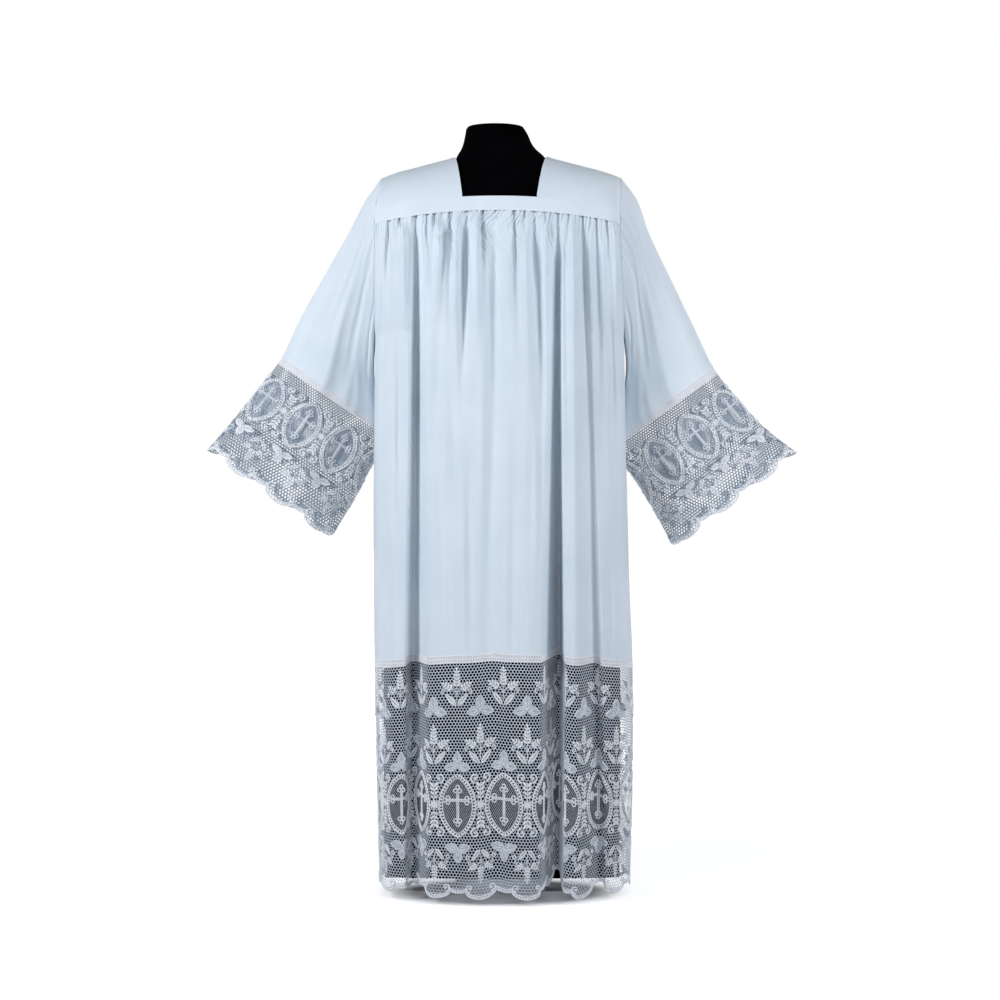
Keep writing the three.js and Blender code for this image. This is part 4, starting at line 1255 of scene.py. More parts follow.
@dataclass(frozen=True)
class Net:
    """Hexagonal net: two nodes and three threads to a mesh, each thread a small ridge."""

    pitch: float = 6.62
    width: float = 1.5
    relief: float = 0.6
    floor: float = -0.6

    def flat(self, ground: LaceGround, first: float, last: float) -> Sheet:
        """The net between two repeats of a lace, less its medallions and cut along its scalloped edge.

        Args:
            ground: the lace.
            first: the repeat that it starts at.
            last: the repeat that it ends before.

        Returns:
            The threads laid flat: at a node three corners and a raised middle, along a thread two strips.
        """
        total = ground.repeats * REPEAT
        around = round(total / self.pitch)
        step = total / around
        side = self.pitch / math.sqrt(3)
        high = int(ground.depth / (1.5 * side)) + 2
        column, row = np.meshgrid(np.arange(around), np.arange(high), indexing="xy")
        u = (column + 0.5 * (row % 2)) * step
        v = ground.depth + side - row * 1.5 * side
        upper = np.stack([u, v + side], axis=-1)
        lower = np.stack([u, v - side], axis=-1)
        reach = self.width / math.sqrt(3)
        wide, half = reach * math.sqrt(3) / 2, reach / 2
        upper_corners = np.array([[0, -reach], [-wide, half], [wide, half], [0, 0]])
        lower_corners = np.array([[0, reach], [-wide, -half], [wide, -half], [0, 0]])
        places = np.concatenate([
            (upper[:, :, None] + upper_corners).reshape(-1, 2),
            (lower[:, :, None] + lower_corners).reshape(-1, 2),
        ])
        levels = [self.floor, self.floor, self.floor, self.floor + self.relief]
        out = np.tile(levels, len(places) // NODE_POINTS)
        beside = np.where(row % 2 == 0, -1, 0)
        over_left = (row - 1) * around + (column + beside) % around
        over_right = (row - 1) * around + (column + beside + 1) % around
        straight_up = (row - 2) * around + column
        mine = (u >= first * REPEAT) & (u < last * REPEAT) & self.kept(ground, *np.moveaxis(upper, -1, 0))
        lower_kept = self.kept(ground, *np.moveaxis(lower, -1, 0)).ravel()
        faces = []
        for other, rows_up, one, two in (
            (over_left, 1, (0, 2), (1, 0)), (over_right, 1, (2, 0), (0, 1)), (straight_up, 2, (1, 1), (2, 2)),
        ):
            there = mine & (row >= rows_up)
            there &= lower_kept[np.where(there, other, 0)]
            a = (row * around + column)[there] * NODE_POINTS
            b = (around * high + other[there]) * NODE_POINTS
            faces.extend(self.thread(a, b, one, two))
        return trimmed(Sheet(np.column_stack([places, out]), np.vstack(faces), places.copy()))

    @staticmethod
    def thread(a: Array, b: Array, one: tuple[int, int], two: tuple[int, int]) -> list[Array]:
        """Two strips along each thread from an upper node to a lower one, on both sides of its ridge.

        Args:
            a: first point of each upper node.
            b: first point of each lower node.
            one: which corners of the two nodes lie on one side of the ridge.
            two: which corners lie on the other side.

        Returns:
            The faces of the two strips.
        """
        return [
            np.stack([a + one[0], a + MIDDLE, b + MIDDLE, b + one[1]], axis=1),
            np.stack([a + MIDDLE, a + two[0], b + two[1], b + MIDDLE], axis=1),
        ]

    @staticmethod
    def kept(ground: LaceGround, u: Array, v: Array) -> Array:
        """True where the net is: above the middle of the edge band and outside the medallions' borders.

        Args:
            ground: the lace.
            u: places along it.
            v: places up from its edge.

        Returns:
            True or False for each place.
        """
        repeat = u / REPEAT
        above = v > scallop(repeat) + EDGE_BAND * 0.35
        from_middle = ((repeat - LACE_PHASE + 0.5) % 1 - 0.5) * REPEAT
        middle = MEDALLION_RISE - ground.drop
        return above & ~inside_medallion(from_middle, v - middle, BORDER * 0.5) & (v < ground.depth + NET_LAP)


def trimmed(sheet: Sheet) -> Sheet:
    """The same mesh without the points that no face uses."""
    used, faces = np.unique(sheet.faces, return_inverse=True)
    return Sheet(sheet.points[used], faces.reshape(sheet.faces.shape), sheet.flat[used])


def leaf(length: float, width: float, relief: float = 1.5, segments: int = 6, slit: float = 0.0) -> Sheet:
    """A raised leaf that points up from its base, whole or parted by a slit along its vein.

    Formula: its half width is a sine of the way along, drawn to a point at the tip. A half is padded highest
    midway between its edge and the vein.

    Args:
        length: from base to tip.
        width: at its widest.
        relief: height of the padding.
        segments: steps along it.
        slit: width of the gap along the vein, none for a whole leaf.

    Returns:
        The leaf laid flat.
    """
    t = np.linspace(0, 1, segments + 1)[:, None]
    swell = np.sin(np.pi * t**0.85) ** 0.8
    half = width / 2 * swell + 0.15
    heights = np.array([0, 1, 0.0])
    if not slit:
        return padded_strip(np.array([-1, 0, 1.0])[None, :] * half, length * t, heights, relief * swell)
    gap = slit / 2 * swell
    sides = []
    for way in (-1, 1):
        u = way * mix(gap, half, np.array([0, 0.5, 1.0])[None, ::way])
        sides.append(padded_strip(u, length * t, heights, relief * (0.3 + 0.7 * swell)))
    return join(sides)


def padded_strip(u: Array, v: Array, heights: Array, relief: Array) -> Sheet:
    """A strip of rows that run from left to right, raised by a share of its relief in each lane."""
    v = v * np.ones_like(u)
    points = np.stack([u, v, relief * heights * np.ones_like(u)], axis=-1).reshape(-1, 3)
    flat = np.stack([u, v + np.abs(u) * 0.8], axis=-1).reshape(-1, 2)
    return Sheet(points, grid_faces(*u.shape), flat)


def cord(path: Array, width: float | Array, relief: float, closed: bool = False) -> Sheet:
    """A raised cord along a flat path: two edges and a crest between.

    Args:
        path: flat points along it.
        width: of the cord, one or one for each point.
        relief: height of its crest.
        closed: True for a loop.

    Returns:
        The cord laid flat.
    """
    if closed:
        along = np.roll(path, -1, axis=0) - np.roll(path, 1, axis=0)
    else:
        along = np.gradient(path, axis=0)
    along = along / np.maximum(np.linalg.norm(along, axis=1, keepdims=True), 1e-9)
    beside = np.column_stack([along[:, 1], -along[:, 0]]) * np.broadcast_to(width, len(path))[:, None] / 2
    lanes = [
        np.column_stack([path + beside * way, np.full(len(path), rise)])
        for way, rise in ((-1, 0.0), (0, relief), (1, 0.0))
    ]
    points = np.stack(lanes, axis=1).reshape(-1, 3)
    steps = np.concatenate([[0], np.cumsum(np.linalg.norm(np.diff(path, axis=0), axis=1))])
    flat = np.stack([np.zeros((len(path), 3)), np.repeat(steps[:, None], 3, axis=1)], axis=-1).reshape(-1, 2)
    if not closed:
        return Sheet(points, grid_faces(len(path), 3), flat)
    own = np.arange(len(path)) * 3
    following = np.roll(own, -1)
    faces = [np.stack([own + k, own + k + 1, following + k + 1, following + k], axis=1) for k in (0, 1)]
    return Sheet(points, np.vstack(faces), flat)


def dome(u: float, v: float, radius: float, relief: float) -> Sheet:
    """A small raised dot with six sides.

    Args:
        u: its middle, to the right.
        v: its middle, upwards.
        radius: of the dot.
        relief: its height.

    Returns:
        The dot laid flat.
    """
    turn = np.linspace(0, 2 * np.pi, 6, endpoint=False)
    rim = np.column_stack([u + radius * np.cos(turn), v + radius * np.sin(turn), np.zeros(6)])
    points = np.vstack([rim, [[u, v, relief]]])
    faces = np.stack([np.arange(6), (np.arange(6) + 1) % 6, np.full(6, 6)], axis=1)
    return Sheet(points, faces, points[:, :2].copy())


def ring(radius: float, width: float = 1.7, relief: float = 1.3, steps: int = 10) -> Sheet:
    """A small raised ring round the origin."""
    turn = np.linspace(0, 2 * np.pi, steps, endpoint=False)
    return cord(radius * np.column_stack([np.cos(turn), np.sin(turn)]), width, relief, closed=True)


def spiral(radius: float, turns: float, width: float, relief: float = 1.5, steps: int = 18) -> Sheet:
    """A scroll that winds in to the origin from a start straight below, thinner towards its eye."""
    t = np.linspace(0, 1, steps)
    turn = -np.pi / 2 + 2 * np.pi * turns * t
    reach = radius * (1 - 0.82 * t)
    return cord(np.column_stack([reach * np.cos(turn), reach * np.sin(turn)]), width * (1 - 0.35 * t), relief)


def pair(sheet: Sheet) -> list[Sheet]:
    """A motif and its mirror image about the upright axis."""
    return [sheet, sheet.place(mirror=True)]


def sprig(count: int, spacing: float, length: float, width: float) -> Sheet:
    """A stem that points up with pairs of small leaves and one at its tip, smaller towards the tip.

    Args:
        count: pairs of leaves.
        spacing: from one pair to the next.
        length: of a leaf.
        width: of a leaf.

    Returns:
        The sprig laid flat.
    """
    small = leaf(length, width, 1.6, 4)
    parts = [cord(np.array([[0, 0], [0, spacing * count]]), 1.5, 1.2)]
    for k in range(count):
        scale = 1 - 0.3 * k / count
        parts.extend(pair(small.place(0.6, spacing * (k + 0.2), turn=50, scale=scale)))
    parts.append(small.place(0, spacing * count * 0.95, scale=0.85))
    return join(parts)


def spray() -> Sheet:
    """An upright sprig and two side sprigs over two long leaves in a V, with its point at the origin."""
    parts = [sprig(5, 6.8, 10.5, 5.0).place(0, 39)]
    parts.append(cord(np.array([[0, 8], [0, 40]]), 1.3, 1.0))
    parts.extend(pair(leaf(34, 10.5, 2.2, 9, slit=1.6).place(1.6, 0, turn=40)))
    parts.extend(pair(sprig(3, 6.2, 10.0, 4.8).place(10, 35, turn=58)))
    parts.extend(pair(cord(np.array([[1, 24], [3.5, 32], [10, 35]]), 1.5, 1.1)))
    parts.extend(pair(spiral(5.2, 1.1, 2.5, 1.7, 10).place(27, 31)))
    return join(parts)


TREFOIL_TURNS = (0.0, 104.0, -104.0)


def trefoil_fill() -> Sheet:
    """The thin filling of three broad leaves, one up and two out to the sides."""
    broad = leaf(28, 18.0, 1.3, 9, slit=0.8)
    return join([broad.place(turn=turn) for turn in TREFOIL_TURNS])


def trefoil_lines() -> Sheet:
    """The padded edge and veins over a trefoil's filling."""
    t = np.linspace(0, 1, 10)
    half = 9.0 * np.sin(np.pi * t**0.85) ** 0.8
    parts = []
    for turn in TREFOIL_TURNS:
        parts.extend(side.place(turn=turn) for side in pair(cord(np.column_stack([half, 28 * t]), 1.7, 1.9)))
        parts.extend(side.place(turn=turn) for side in pair(leaf(15, 2.6, 2.2, 5).place(0.8, 4, turn=17)))
    parts.append(dome(0, 0, 2.6, 2.3))
    return join(parts)


def star() -> Sheet:
    """A small rosette of eight petals round a dot."""
    petal = leaf(9.4, 3.6, 1.7, 4)
    return join([petal.place(0, 1).place(turn=45 * k) for k in range(8)] + [dome(0, 0, 2.0, 2.2)])


def half_ornament() -> Sheet:
    """Scrolls over a stack of leaf pairs that narrows down to the rosette at the origin."""
    small = leaf(13.5, 5.4, 1.9, 4)
    parts = []
    for k in range(4):
        parts.extend(pair(small.place(0.8, 13 + 7.4 * k, turn=54 - 5 * k, scale=0.62 + 0.13 * k)))
    parts.extend(pair(spiral(9.8, 1.15, 3.6, 2.0, 16).place(11.5, 53)))
    parts.extend(pair(dome(11.5, 53, 2.4, 2.0)))
    parts.append(cord(np.array([[0, 9], [0, 44]]), 1.5, 1.2))
    return join(parts)


def cross() -> Sheet:
    """A cross of double-lined bars with three small rings at each end, about the medallion's middle."""
    crossing = 11.0
    ends = ((0.0, 27.0, 0.0), (0.0, -27.0, 180.0), (17.0, crossing, 90.0), (-17.0, crossing, -90.0))
    parts = []
    for u, v, turn in ends:
        aside = np.array([math.cos(math.radians(turn)), -math.sin(math.radians(turn))]) * 1.6
        for way in (-1, 1):
            line = np.array([[0.0, crossing], [u, v]]) + aside * way
            parts.append(cord(line, 2.7, 1.9))
        for ring_u, ring_v in ((-4.7, 2.6), (4.7, 2.6), (0, 9.6)):
            parts.append(ring(3.6, 2.6, 2.1, 10).place(ring_u, ring_v).place(u, v, turn=turn))
    return join(parts)


def medallion() -> Sheet:
    """The medallion about its middle: two cords with beads between, and the cross."""
    parts = [cord(oval(52), 2.5, 1.7, closed=True), cord(oval(44, BORDER), 2.0, 1.5, closed=True)]
    beads = oval(220, BORDER / 2)
    beads = np.vstack([beads, beads[:1]])
    beads = even_row(np.column_stack([beads, np.zeros(len(beads))]), MEDALLION_BEADS + 1)[:-1]
    parts.extend(dome(u, v, 2.3, 1.8) for u, v, _ in beads)
    parts.append(cross())
    return join(parts)


def fine_net(width: float, spacing: float = 3.6, degrees: float = 30.0) -> Sheet:
    """The close net inside a medallion: two sets of straight threads, slanting both ways.

    Args:
        width: of a thread.
        spacing: from one thread to the next.
        degrees: slant of the threads from upright.

    Returns:
        The net about the medallion's middle.
    """
    strips = []
    inset = BORDER * 0.8
    reach = MEDALLION_HALF_HEIGHT + MEDALLION_HALF_WIDTH
    run = np.linspace(-reach, reach, 161)
    for way, out in ((1, 0.0), (-1, 0.25)):
        slant = np.array([math.sin(math.radians(degrees)) * way, math.cos(math.radians(degrees))])
        beside = np.array([slant[1], -slant[0]])
        for shift in np.arange(-reach, reach, spacing):
            line = run[:, None] * slant + shift * beside
            line = line[inside_medallion(line[:, 0], line[:, 1], inset)]
            if len(line) < 3:
                continue
            path = line[np.unique(np.linspace(0, len(line) - 1, max(len(line) // 6, 2)).astype(int))]
            strips.append(strip(path, width, out - 0.5))
    return join(strips)


def strip(path: Array, width: float, out: float) -> Sheet:
    """A flat narrow strip along a path.

    Args:
        path: flat points along it.
        width: of the strip.
        out: its height.

    Returns:
        The strip laid flat.
    """
    along = np.gradient(path, axis=0)
    along = along / np.linalg.norm(along, axis=1, keepdims=True)
    beside = np.column_stack([along[:, 1], -along[:, 0]]) * width / 2
    level = np.full(len(path), out)
    edges = [np.column_stack([edge, level]) for edge in (path - beside, path + beside)]
    points = np.stack(edges, axis=1).reshape(-1, 3)
    return Sheet(points, grid_faces(len(path), 2), points[:, :2].copy())


def edge_repeat() -> Sheet:
    """One repeat of the scalloped edge between two medallions' middles: two cords, beads and scrolls."""
    u = np.linspace(0, REPEAT, 61)
    outline = np.column_stack([u, scallop(u / REPEAT + LACE_PHASE)])
    inner = outline + [0, EDGE_BAND]
    parts = [cord(outline + [0, 1.2], 2.7, 1.7), cord(inner, 2.1, 1.5)]
    middles = np.column_stack([outline + [0, EDGE_BAND / 2 + 0.4], np.zeros(len(outline))])
    middles = even_row(middles, EDGE_BEADS + 1)
    parts.extend(dome(x, y, 2.3, 1.8) for x, y, _ in middles[:-1])
    half = REPEAT * LARGE_SCALLOP_SHARE / 2
    scroll = join([spiral(8.2, 1.15, 3.4, 2.0, 14), dome(0, 0, 2.2, 2.0)])
    scroll = scroll.place(half - 9, SCALLOP_DEPTH + 6.5)
    parts.extend(turned.place(REPEAT / 2) for turned in pair(scroll))
    return join(parts)


def trefoils(leaves: Sheet, full: bool) -> list[Sheet]:
    """A trefoil's copies in a repeat: one hangs under each medallion, the others stand over them.

    Args:
        leaves: one trefoil about its base.
        full: True for the skirt, which has all three.

    Returns:
        The copies.
    """
    copies = [leaves.place(0, HANGING_TREFOIL_RISE, turn=180, scale=0.95)]
    if full:
        copies.append(leaves.place(REPEAT / 2, UPPER_TREFOIL_RISE))
        copies.append(leaves.place(0, LOWER_TREFOIL_RISE, scale=0.95))
    return copies


def lace_repeat(full: bool) -> Sheet:
    """All padded motifs of one repeat, from a medallion's middle at u = 0 to the ornament at half a repeat.

    Args:
        full: True for the skirt, whose two rows of sprays lie over the medallions.

    Returns:
        The motifs laid flat, with v up from the edge's lowest points.
    """
    half = REPEAT / 2
    parts = [
        medallion().place(0, MEDALLION_RISE),
        ring(3.4, 2.2, 1.7, 9).place(-RING_ASIDE, RING_RISE),
        ring(3.4, 2.2, 1.7, 9).place(RING_ASIDE, RING_RISE),
        star().place(half, ORNAMENT_RISE),
        half_ornament().place(half, ORNAMENT_RISE),
        half_ornament().place(half, ORNAMENT_RISE - 2, turn=180),
        spray().place(half, HANGING_SPRAY_RISE, turn=180, scale=0.84),
        edge_repeat(),
    ]
    parts.extend(trefoils(trefoil_lines(), full))
    if full:
        parts.extend([spray().place(0, UPPER_SPRAY_RISE), spray().place(half, LOWER_SPRAY_RISE)])
    return join(parts)


def tiled(sheet: Sheet, first: int, last: int, phase: float = LACE_PHASE) -> Sheet:
    """Copies of a mesh at each repeat from the first to before the last.

    Args:
        sheet: one repeat.
        first: the first repeat.
        last: the repeat that it ends before.
        phase: shift along the lace, in repeats.

    Returns:
        The copies as one mesh.
    """
    shifts = (np.arange(first, last) + phase) * REPEAT
    moved = shifts[:, None, None] * np.array([1, 0, 0])
    points = (sheet.points[None] + moved).reshape(-1, 3)
    starts = (np.arange(len(shifts)) * len(sheet.points))[:, None, None]
    faces = (sheet.faces[None] + starts).reshape(-1, sheet.faces.shape[1])
    return Sheet(points, faces, np.tile(sheet.flat, (len(shifts), 1)))


TRIM_CORDS = ((1.4, 3.4), (8.2, 2.6), (15.6, 3.4))  # height over the lace, and width
TRIM_BARS = ((2.4, 7.6), (8.8, 14.8))  # lower and upper ends over the lace
BARS_TO_A_REPEAT = 28


def trim_repeat(depth: float) -> Sheet:
    """One repeat of the join's openwork: three cords with two rows of short bars between.

    Args:
        depth: of the lace, from the edge's lowest points to its top.

    Returns:
        The trim laid flat.
    """
    u = np.linspace(0, REPEAT, 33)
    parts = []
    for rise, width in TRIM_CORDS:
        parts.append(cord(np.column_stack([u, np.full_like(u, depth + rise)]), width, 1.2))
    bars = np.arange(0, REPEAT - 1, REPEAT / BARS_TO_A_REPEAT)
    for low, high in TRIM_BARS:
        parts.extend(cord(np.array([[x, depth + low], [x + 0.9, depth + high]]), 2.9, 0.8) for x in bars)
    return join(parts)


RELIEF_FLOOR = -0.35
CUFF_DROP = 20.0  # how much lower the medallions lie in a cuff than in the skirt
DROP_FROM = 26.0  # the edge itself stays as it is


def dropped(v: Array, drop: float) -> Array:
    """Heights in a lace whose medallions lie lower: evenly closer between the edge and the medallions."""
    low = MEDALLION_RISE - MEDALLION_HALF_HEIGHT
    closer = DROP_FROM + (v - DROP_FROM) * (low - drop - DROP_FROM) / (low - DROP_FROM)
    return np.where(v < DROP_FROM, v, np.where(v < low, closer, v - drop))


def raised(sheet: Sheet) -> Sheet:
    """A flat motif mesh set so that its lowest points lie in the net."""
    return Sheet(sheet.points + [0, 0, RELIEF_FLOOR], sheet.faces, sheet.flat)


def attach(made: bpy.types.Object, slot: Slot, nodes: Sequence[str] = ()) -> None:
    """Put an object on the root body and hide the solids that it stands for."""
    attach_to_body(made, ROOT)
    if nodes:
        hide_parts(*nodes)


def declare(
    made: bpy.types.Object, slot: Slot, nodes: Sequence[str],
) -> None:
    """Attach an object to the root body and hide the solids that it stands for."""
    attach(made, slot, nodes)


@dataclass
class LaceWork:
    """Net, raised motifs and join trim on one lace."""

    ground: LaceGround
    full: bool
    net: Net = Net()
    fine_width: float = 0.5

    def build(
        self, name: str, node: str, trim_node: str, span: tuple[int, int], size: tuple[float, float],
        finishes: tuple[bpy.types.Material, bpy.types.Material, bpy.types.Material], hangs_from: str,
    ) -> None:
        """Make one stretch of lace.

        Args:
            name: what the pieces are called by.
            node: the solid that the net stands for.
            trim_node: the solid that the trim stands for.
            span: first repeat and the one it ends before.
            size: flat width and depth of the cut lace, in metres; not used.
            finishes: net thread, satin stitch and cloth stitch.
            hangs_from: the piece of cloth above; not used.
        """
        # The net thread, and the skirt's cloth stitch, carry painted shade in their colours
        thread, satin, filled = finishes
        net = self.ground.lay(self.net.flat(self.ground, *span))
        made = build_object(f"net_{name}", net, thread)
        motifs = self.ground.lay_motifs(raised(tiled(lace_repeat(self.full), *span)))
        work = build_object(f"motifs_{name}", motifs, satin)
        attach(work, Slot.LACE)
        close = self.ground.lay_motifs(tiled(fine_net(self.fine_width).place(0, MEDALLION_RISE), *span))
        filling = build_object(f"medallion_net_{name}", close, thread)
        attach(filling, Slot.LACE)
        broad = self.ground.lay_motifs(raised(tiled(join(trefoils(trefoil_fill(), self.full)), *span)))
        leaves = build_object(f"leaves_{name}", broad, filled)
        attach(leaves, Slot.LACE)
        declare(made, Slot.LACE, [node])
        trim = self.ground.lay(raised(tiled(trim_repeat(self.ground.depth), *span, phase=0)))
        band = build_object(f"trim_{name}", trim, satin)
        declare(band, Slot.LACE, [trim_node])


RIM = ((0, 2.0), (0.5, 0.8), (1.6, 0.15), (3.0, 0))  # a plate's rounded rim: inwards, and below its top


@dataclass
class DressForm:
    """The limbless black form: shoulders and body, neck, cap and low oval base."""

    columns: int = 48
    base_half_width: float = 95.0
    base_half_depth: float = 56.0
    body_rows: int = 60
    shoulder_rows: int = 19
    neck_rows: int = 40

    def ring(self, point_at: Callable[[int, Array], Array]) -> Array:
        """One ring: the front from left to right, then the back from right to left."""
        share = np.linspace(0, 1, self.columns + 1) - 0.5
        return np.concatenate([point_at(sign, -sign * np.pi * share) for sign in (-1, 1)])

    def body(self) -> Sheet:
        """Rings up the body by its table, then over the shoulders just under the yoke."""
        rings = []
        for z in np.linspace(FORM.rows[-1]["z"], FORM.rows[0]["z"], self.body_rows):
            read = {name: FORM.smooth(name, z) for name in FORM.names[1:]}

            def level(sign: int, turn: Array) -> Array:
                aside, out = squarish(turn)
                depth = read["front"] if sign < 0 else read["back"]
                x = (read["left"] + read["right"] + aside * (read["right"] - read["left"])) / 2
                y = sign * (read["plate"] + (depth - read["plate"]) * out)
                return np.stack([x, y, np.full_like(x, z)], axis=-1)

            rings.append(self.ring(level))
        inset = SOLID_CLOTH + FORM_CLEARANCE
        for down in np.linspace(90, 0, self.shoulder_rows):

            def over(sign: int, turn: Array) -> Array:
                angle = np.array(sign * max(down, 1e-6))
                left = yoke_edge(-1, angle) + FORM_TIP_INSET
                right = yoke_edge(1, angle) - FORM_TIP_INSET
                x = (left + right + squarish(turn)[0] * (right - left)) / 2
                return yoke_point(x, angle * np.ones_like(x), inset, FORM_FRONT_EASE)

            rings.append(self.ring(over))
        return lofted(np.stack(rings))

    def neck(self) -> Sheet:
        """Oval rings up the neck by its table."""
        turn = np.linspace(0, 2 * np.pi, 64, endpoint=False)
        rings = []
        for z in np.linspace(NECK.rows[0]["z"], NECK.rows[-1]["z"], self.neck_rows):
            left, right, depth = (NECK.smooth(name, z) for name in ("left", "right", "depth"))
            x = (left + right + np.cos(turn) * (right - left)) / 2
            rings.append(np.stack([x, depth * np.sin(turn) + RIDGE_SETBACK, np.full_like(x, z)], axis=-1))
        return lofted(np.stack(rings))

    @staticmethod
    def disc(half_width: float, half_depth: float, low: float, high: float, x: float, y: float) -> Sheet:
        """A flat oval plate with a rounded upper rim.

        Args:
            half_width: of the oval.
            half_depth: of the oval.
            low: height of its underside.
            high: height of its top.
            x: its middle, to the right.
            y: its middle, to the back.

        Returns:
            The closed plate.
        """
        turn = np.linspace(0, 2 * np.pi, 72, endpoint=False)
        levels = [(0.8, low), (0, low + 0.6)] + [(inset, high - below) for inset, below in RIM]
        rings = [
            np.stack([x + (half_width - inset) * np.cos(turn), y + (half_depth - inset) * np.sin(turn),
                      np.full_like(turn, z)], axis=-1)
            for inset, z in levels
        ]
        return lofted(np.stack(rings))

    def build(self, velvet: bpy.types.Material, steel: bpy.types.Material) -> None:
        """Make the form's pieces where its solids are.

        Args:
            velvet: finish of the cover.
            steel: finish of the base.
        """
        body = build_object("form_velvet", join([self.body(), self.neck()]), velvet)
        attach(body, Slot.VELVET, ["form_body"])
        top, left, right, depth = (float(NECK.rows[-1][name]) for name in NECK.names)
        cap = self.disc((right - left) / 2 - CAP_INSET, depth - CAP_INSET, top + SEAM_GAP,
                        top + SEAM_GAP + CAP_THICKNESS, (left + right) / 2, RIDGE_SETBACK)
        attach(build_object("form_cap", cap, velvet), Slot.VELVET, ["form_neck_cap"])
        middle = (FORM.rows[-1]["back"] - FORM.rows[-1]["front"]) / 2
        plate = self.disc(self.base_half_width, self.base_half_depth, 0, BASE_THICKNESS, 0, middle)
        attach(build_object("stand_base", plate, steel), Slot.STEEL, ["form_base"])


def lofted(rings: Array) -> Sheet:
    """A closed solid through rings from the lowest up, with flat ends.

    Args:
        rings: points, ring by ring.

    Returns:
        The solid with its faces outwards.
    """
    count, columns = rings.shape[:2]
    points = rings.reshape(-1, 3)
    ends = np.stack([rings[0].mean(axis=0), rings[-1].mean(axis=0)])
    faces = grid_faces(count, columns, closed=True)
    faces = np.vstack([faces[:, [0, 1, 2]], faces[:, [0, 2, 3]]])
    i = np.arange(columns)
    following = (i + 1) % columns
    top = (count - 1) * columns
    low_centre, top_centre = len(points), len(points) + 1
    lower = np.stack([following, i, np.full(columns, low_centre)], axis=1)
    upper = np.stack([i + top, following + top, np.full(columns, top_centre)], axis=1)
    points = np.vstack([points, ends])
    faces = np.vstack([faces, lower, upper])
    a, b, c = (points[faces[:, k]] for k in range(3))
    if np.einsum("ij,ij->i", a, np.cross(b, c)).sum() < 0:
        faces = faces[:, ::-1]
    return Sheet(points, faces, points[:, [0, 2]].copy())


@dataclass(frozen=True)
class Softbox:
    """A square soft light: where it stands and how wide it is in metres, and its power in watts."""

    name: str
    place: tuple[float, float, float]
    size: float
    power: float


# Two from the sides for the folds, one from the front for the lace, two from behind for the back
SOFTBOXES = (
    Softbox("left_softbox", (-1.8, -1.5, 1.75), 0.7, 37),
    Softbox("right_softbox", (1.9, -1.4, 1.65), 0.8, 26),
    Softbox("front_softbox", (0.3, -3.4, 2.6), 1.2, 18),
    Softbox("back_left_softbox", (-3.0, 2.4, 1.9), 1.0, 34),
    Softbox("back_right_softbox", (3.0, 2.4, 1.9), 1.0, 40),
)
SOFTBOX_COLOUR = "#F6F9FF"
SKY_COLOUR = "#F2F7FF"


@dataclass
class Studio:
    """Camera at the photograph's place, a pale floor and soft light."""

    distance: float = 4200.0
    height: float = 796.0
    aside: float = -4.0
    lens: float = 74.4
    sensor: float = 36.0
    clip_end: float = 200.0
    floor_size: float = 60000.0
    sky: float = 0.14
    aim: float = 1100.0

    def camera(self) -> None:
        """Level, square to the front."""
        data = bpy.data.cameras.new("photo_camera")
        data.lens = self.lens
        data.sensor_width = self.sensor
        data.clip_end = self.clip_end
        made = bpy.data.objects.new("photo_camera", data)
        made.location = (self.aside * MM, -self.distance * MM, self.height * MM)
        made.rotation_euler = (math.pi / 2, 0, 0)
        bpy.context.scene.collection.objects.link(made)
        bpy.context.scene.camera = made

    def light(self, softbox: Softbox) -> None:
        """Set up a light, aimed at the middle of the garment.

        Args:
            softbox: its name, place, size and power.
        """
        data = bpy.data.lights.new(softbox.name, "AREA")
        data.size = softbox.size
        data.energy = softbox.power
        data.color = srgb(SOFTBOX_COLOUR)[:3]
        made = bpy.data.objects.new(softbox.name, data)
        made.location = softbox.place
        aim = Vector((0, 0, self.aim * MM)) - made.location
        made.rotation_euler = aim.to_track_quat("-Z", "Y").to_euler()
        bpy.context.scene.collection.objects.link(made)

    def build(self) -> None:
        """Floor, world and lights."""
        half = self.floor_size / 2
        corners = np.array([[-half, -half, 0], [half, -half, 0], [half, half, 0], [-half, half, 0.0]])
        ground = Sheet(corners, np.array([[0, 1, 2, 3]]), corners[:, :2])
        floor = build_object("floor", ground, FLOOR.build(), shifted=False)
        world = bpy.data.worlds.new("studio")
        world.use_nodes = True
        tree = world.node_tree
        tree.nodes.clear()
        soft = add_node(tree, "ShaderNodeBackground", {"Color": srgb(SKY_COLOUR), "Strength": self.sky})
        seen = add_node(tree, "ShaderNodeBackground", {"Color": srgb(WHITE), "Strength": 1.0})
        ray = add_node(tree, "ShaderNodeLightPath").outputs["Is Camera Ray"]
        both = add_node(tree, "ShaderNodeMixShader", {0: ray, 1: soft.outputs[0], 2: seen.outputs[0]})
        add_node(tree, "ShaderNodeOutputWorld", {"Surface": both.outputs[0]})
        bpy.context.scene.world = world
        bpy.context.scene.view_settings.view_transform = "Standard"
        for softbox in SOFTBOXES:
            self.light(softbox)


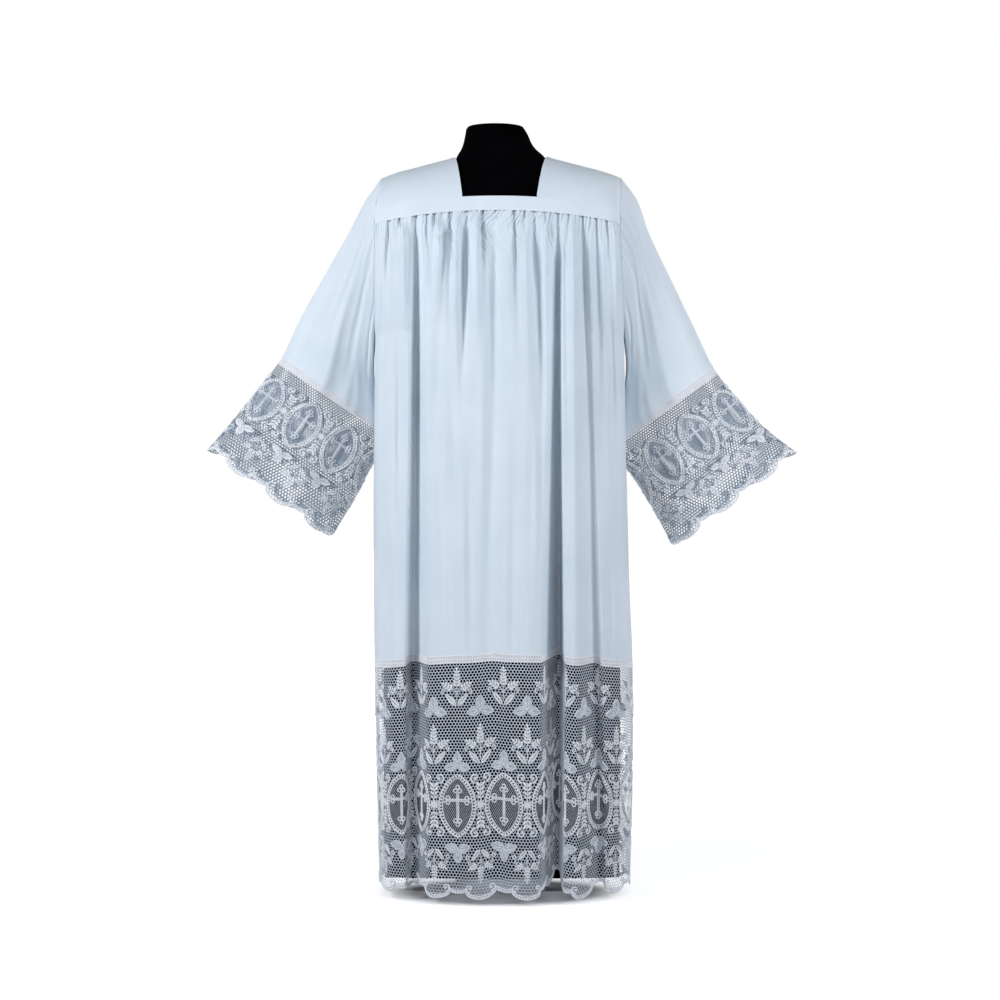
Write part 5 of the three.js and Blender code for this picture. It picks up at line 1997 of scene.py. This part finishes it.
def main() -> None:
    """Build the alb on its form, then the studio round it."""
    studio = Studio()
    studio.camera()
    cotton, pressed, satin = COTTON.build(), PRESSED.build(), SATIN.build()
    DressForm().build(VELVET.build(), STEEL.build())
    Yoke().build(cotton, pressed, satin)
    round_skirt = FRONT_REPEATS + BACK_REPEATS
    front = BodyHalf(-1, "front", FRONT_FOLDS, FRONT_PLEATS, PLEAT_COUNT_FRONT, FRONT_REPEATS, 0)
    back = BodyHalf(1, "back", BACK_FOLDS, BACK_PLEATS, PLEAT_COUNT_BACK, BACK_REPEATS, round_skirt)
    panel = build_object("front_cloth", front.panel(*FRONT_GRID), cotton)
    declare(panel, Slot.COTTON, ["front_panel"])
    panel = build_object("back_cloth", back.panel(*BACK_GRID), cotton)
    declare(panel, Slot.COTTON, ["back_panel"])
    skirt = LaceWork(skirt_ground(front, back), full=True)
    # The net thread, the cloth stitch and the cuffs' net have painted shade in their colours
    finishes, shaded_cuff_net = (NET_THREAD_PAINTED_SHADE.build(), satin, CLOTH_STITCH_PAINTED_SHADE.build()), CUFF_NET_PAINTED_SHADE.build()
    for name, span, size in (
        ("front", (0, FRONT_REPEATS), FRONT_LACE_CUT), ("back", (FRONT_REPEATS, round_skirt), BACK_LACE_CUT),
    ):
        skirt.build(name, f"lace_flounce_{name}", f"skirt_trim_{name}", span, size, finishes, f"{name}_cloth")
    for side, name, table in ((-1, "left", SLEEVE_LEFT), (1, "right", SLEEVE_RIGHT)):
        sleeve = Sleeve(side, name, table)
        made = build_object(f"sleeve_cloth_{name}", sleeve.cloth(), cotton)
        declare(made, Slot.COTTON, [f"sleeve_{name}"])
        net = Net(width=CUFF_THREAD_WIDTH)
        cuff = LaceWork(cuff_ground(sleeve), full=False, net=net, fine_width=CUFF_FINE_WIDTH)
        cuff.build(f"cuff_{name}", f"cuff_lace_{name}", f"cuff_trim_{name}", (0, CUFF_REPEATS), CUFF_CUT,
                   (shaded_cuff_net, satin, satin), f"sleeve_cloth_{name}")
    studio.build()


if __name__ == "__main__":
    main()
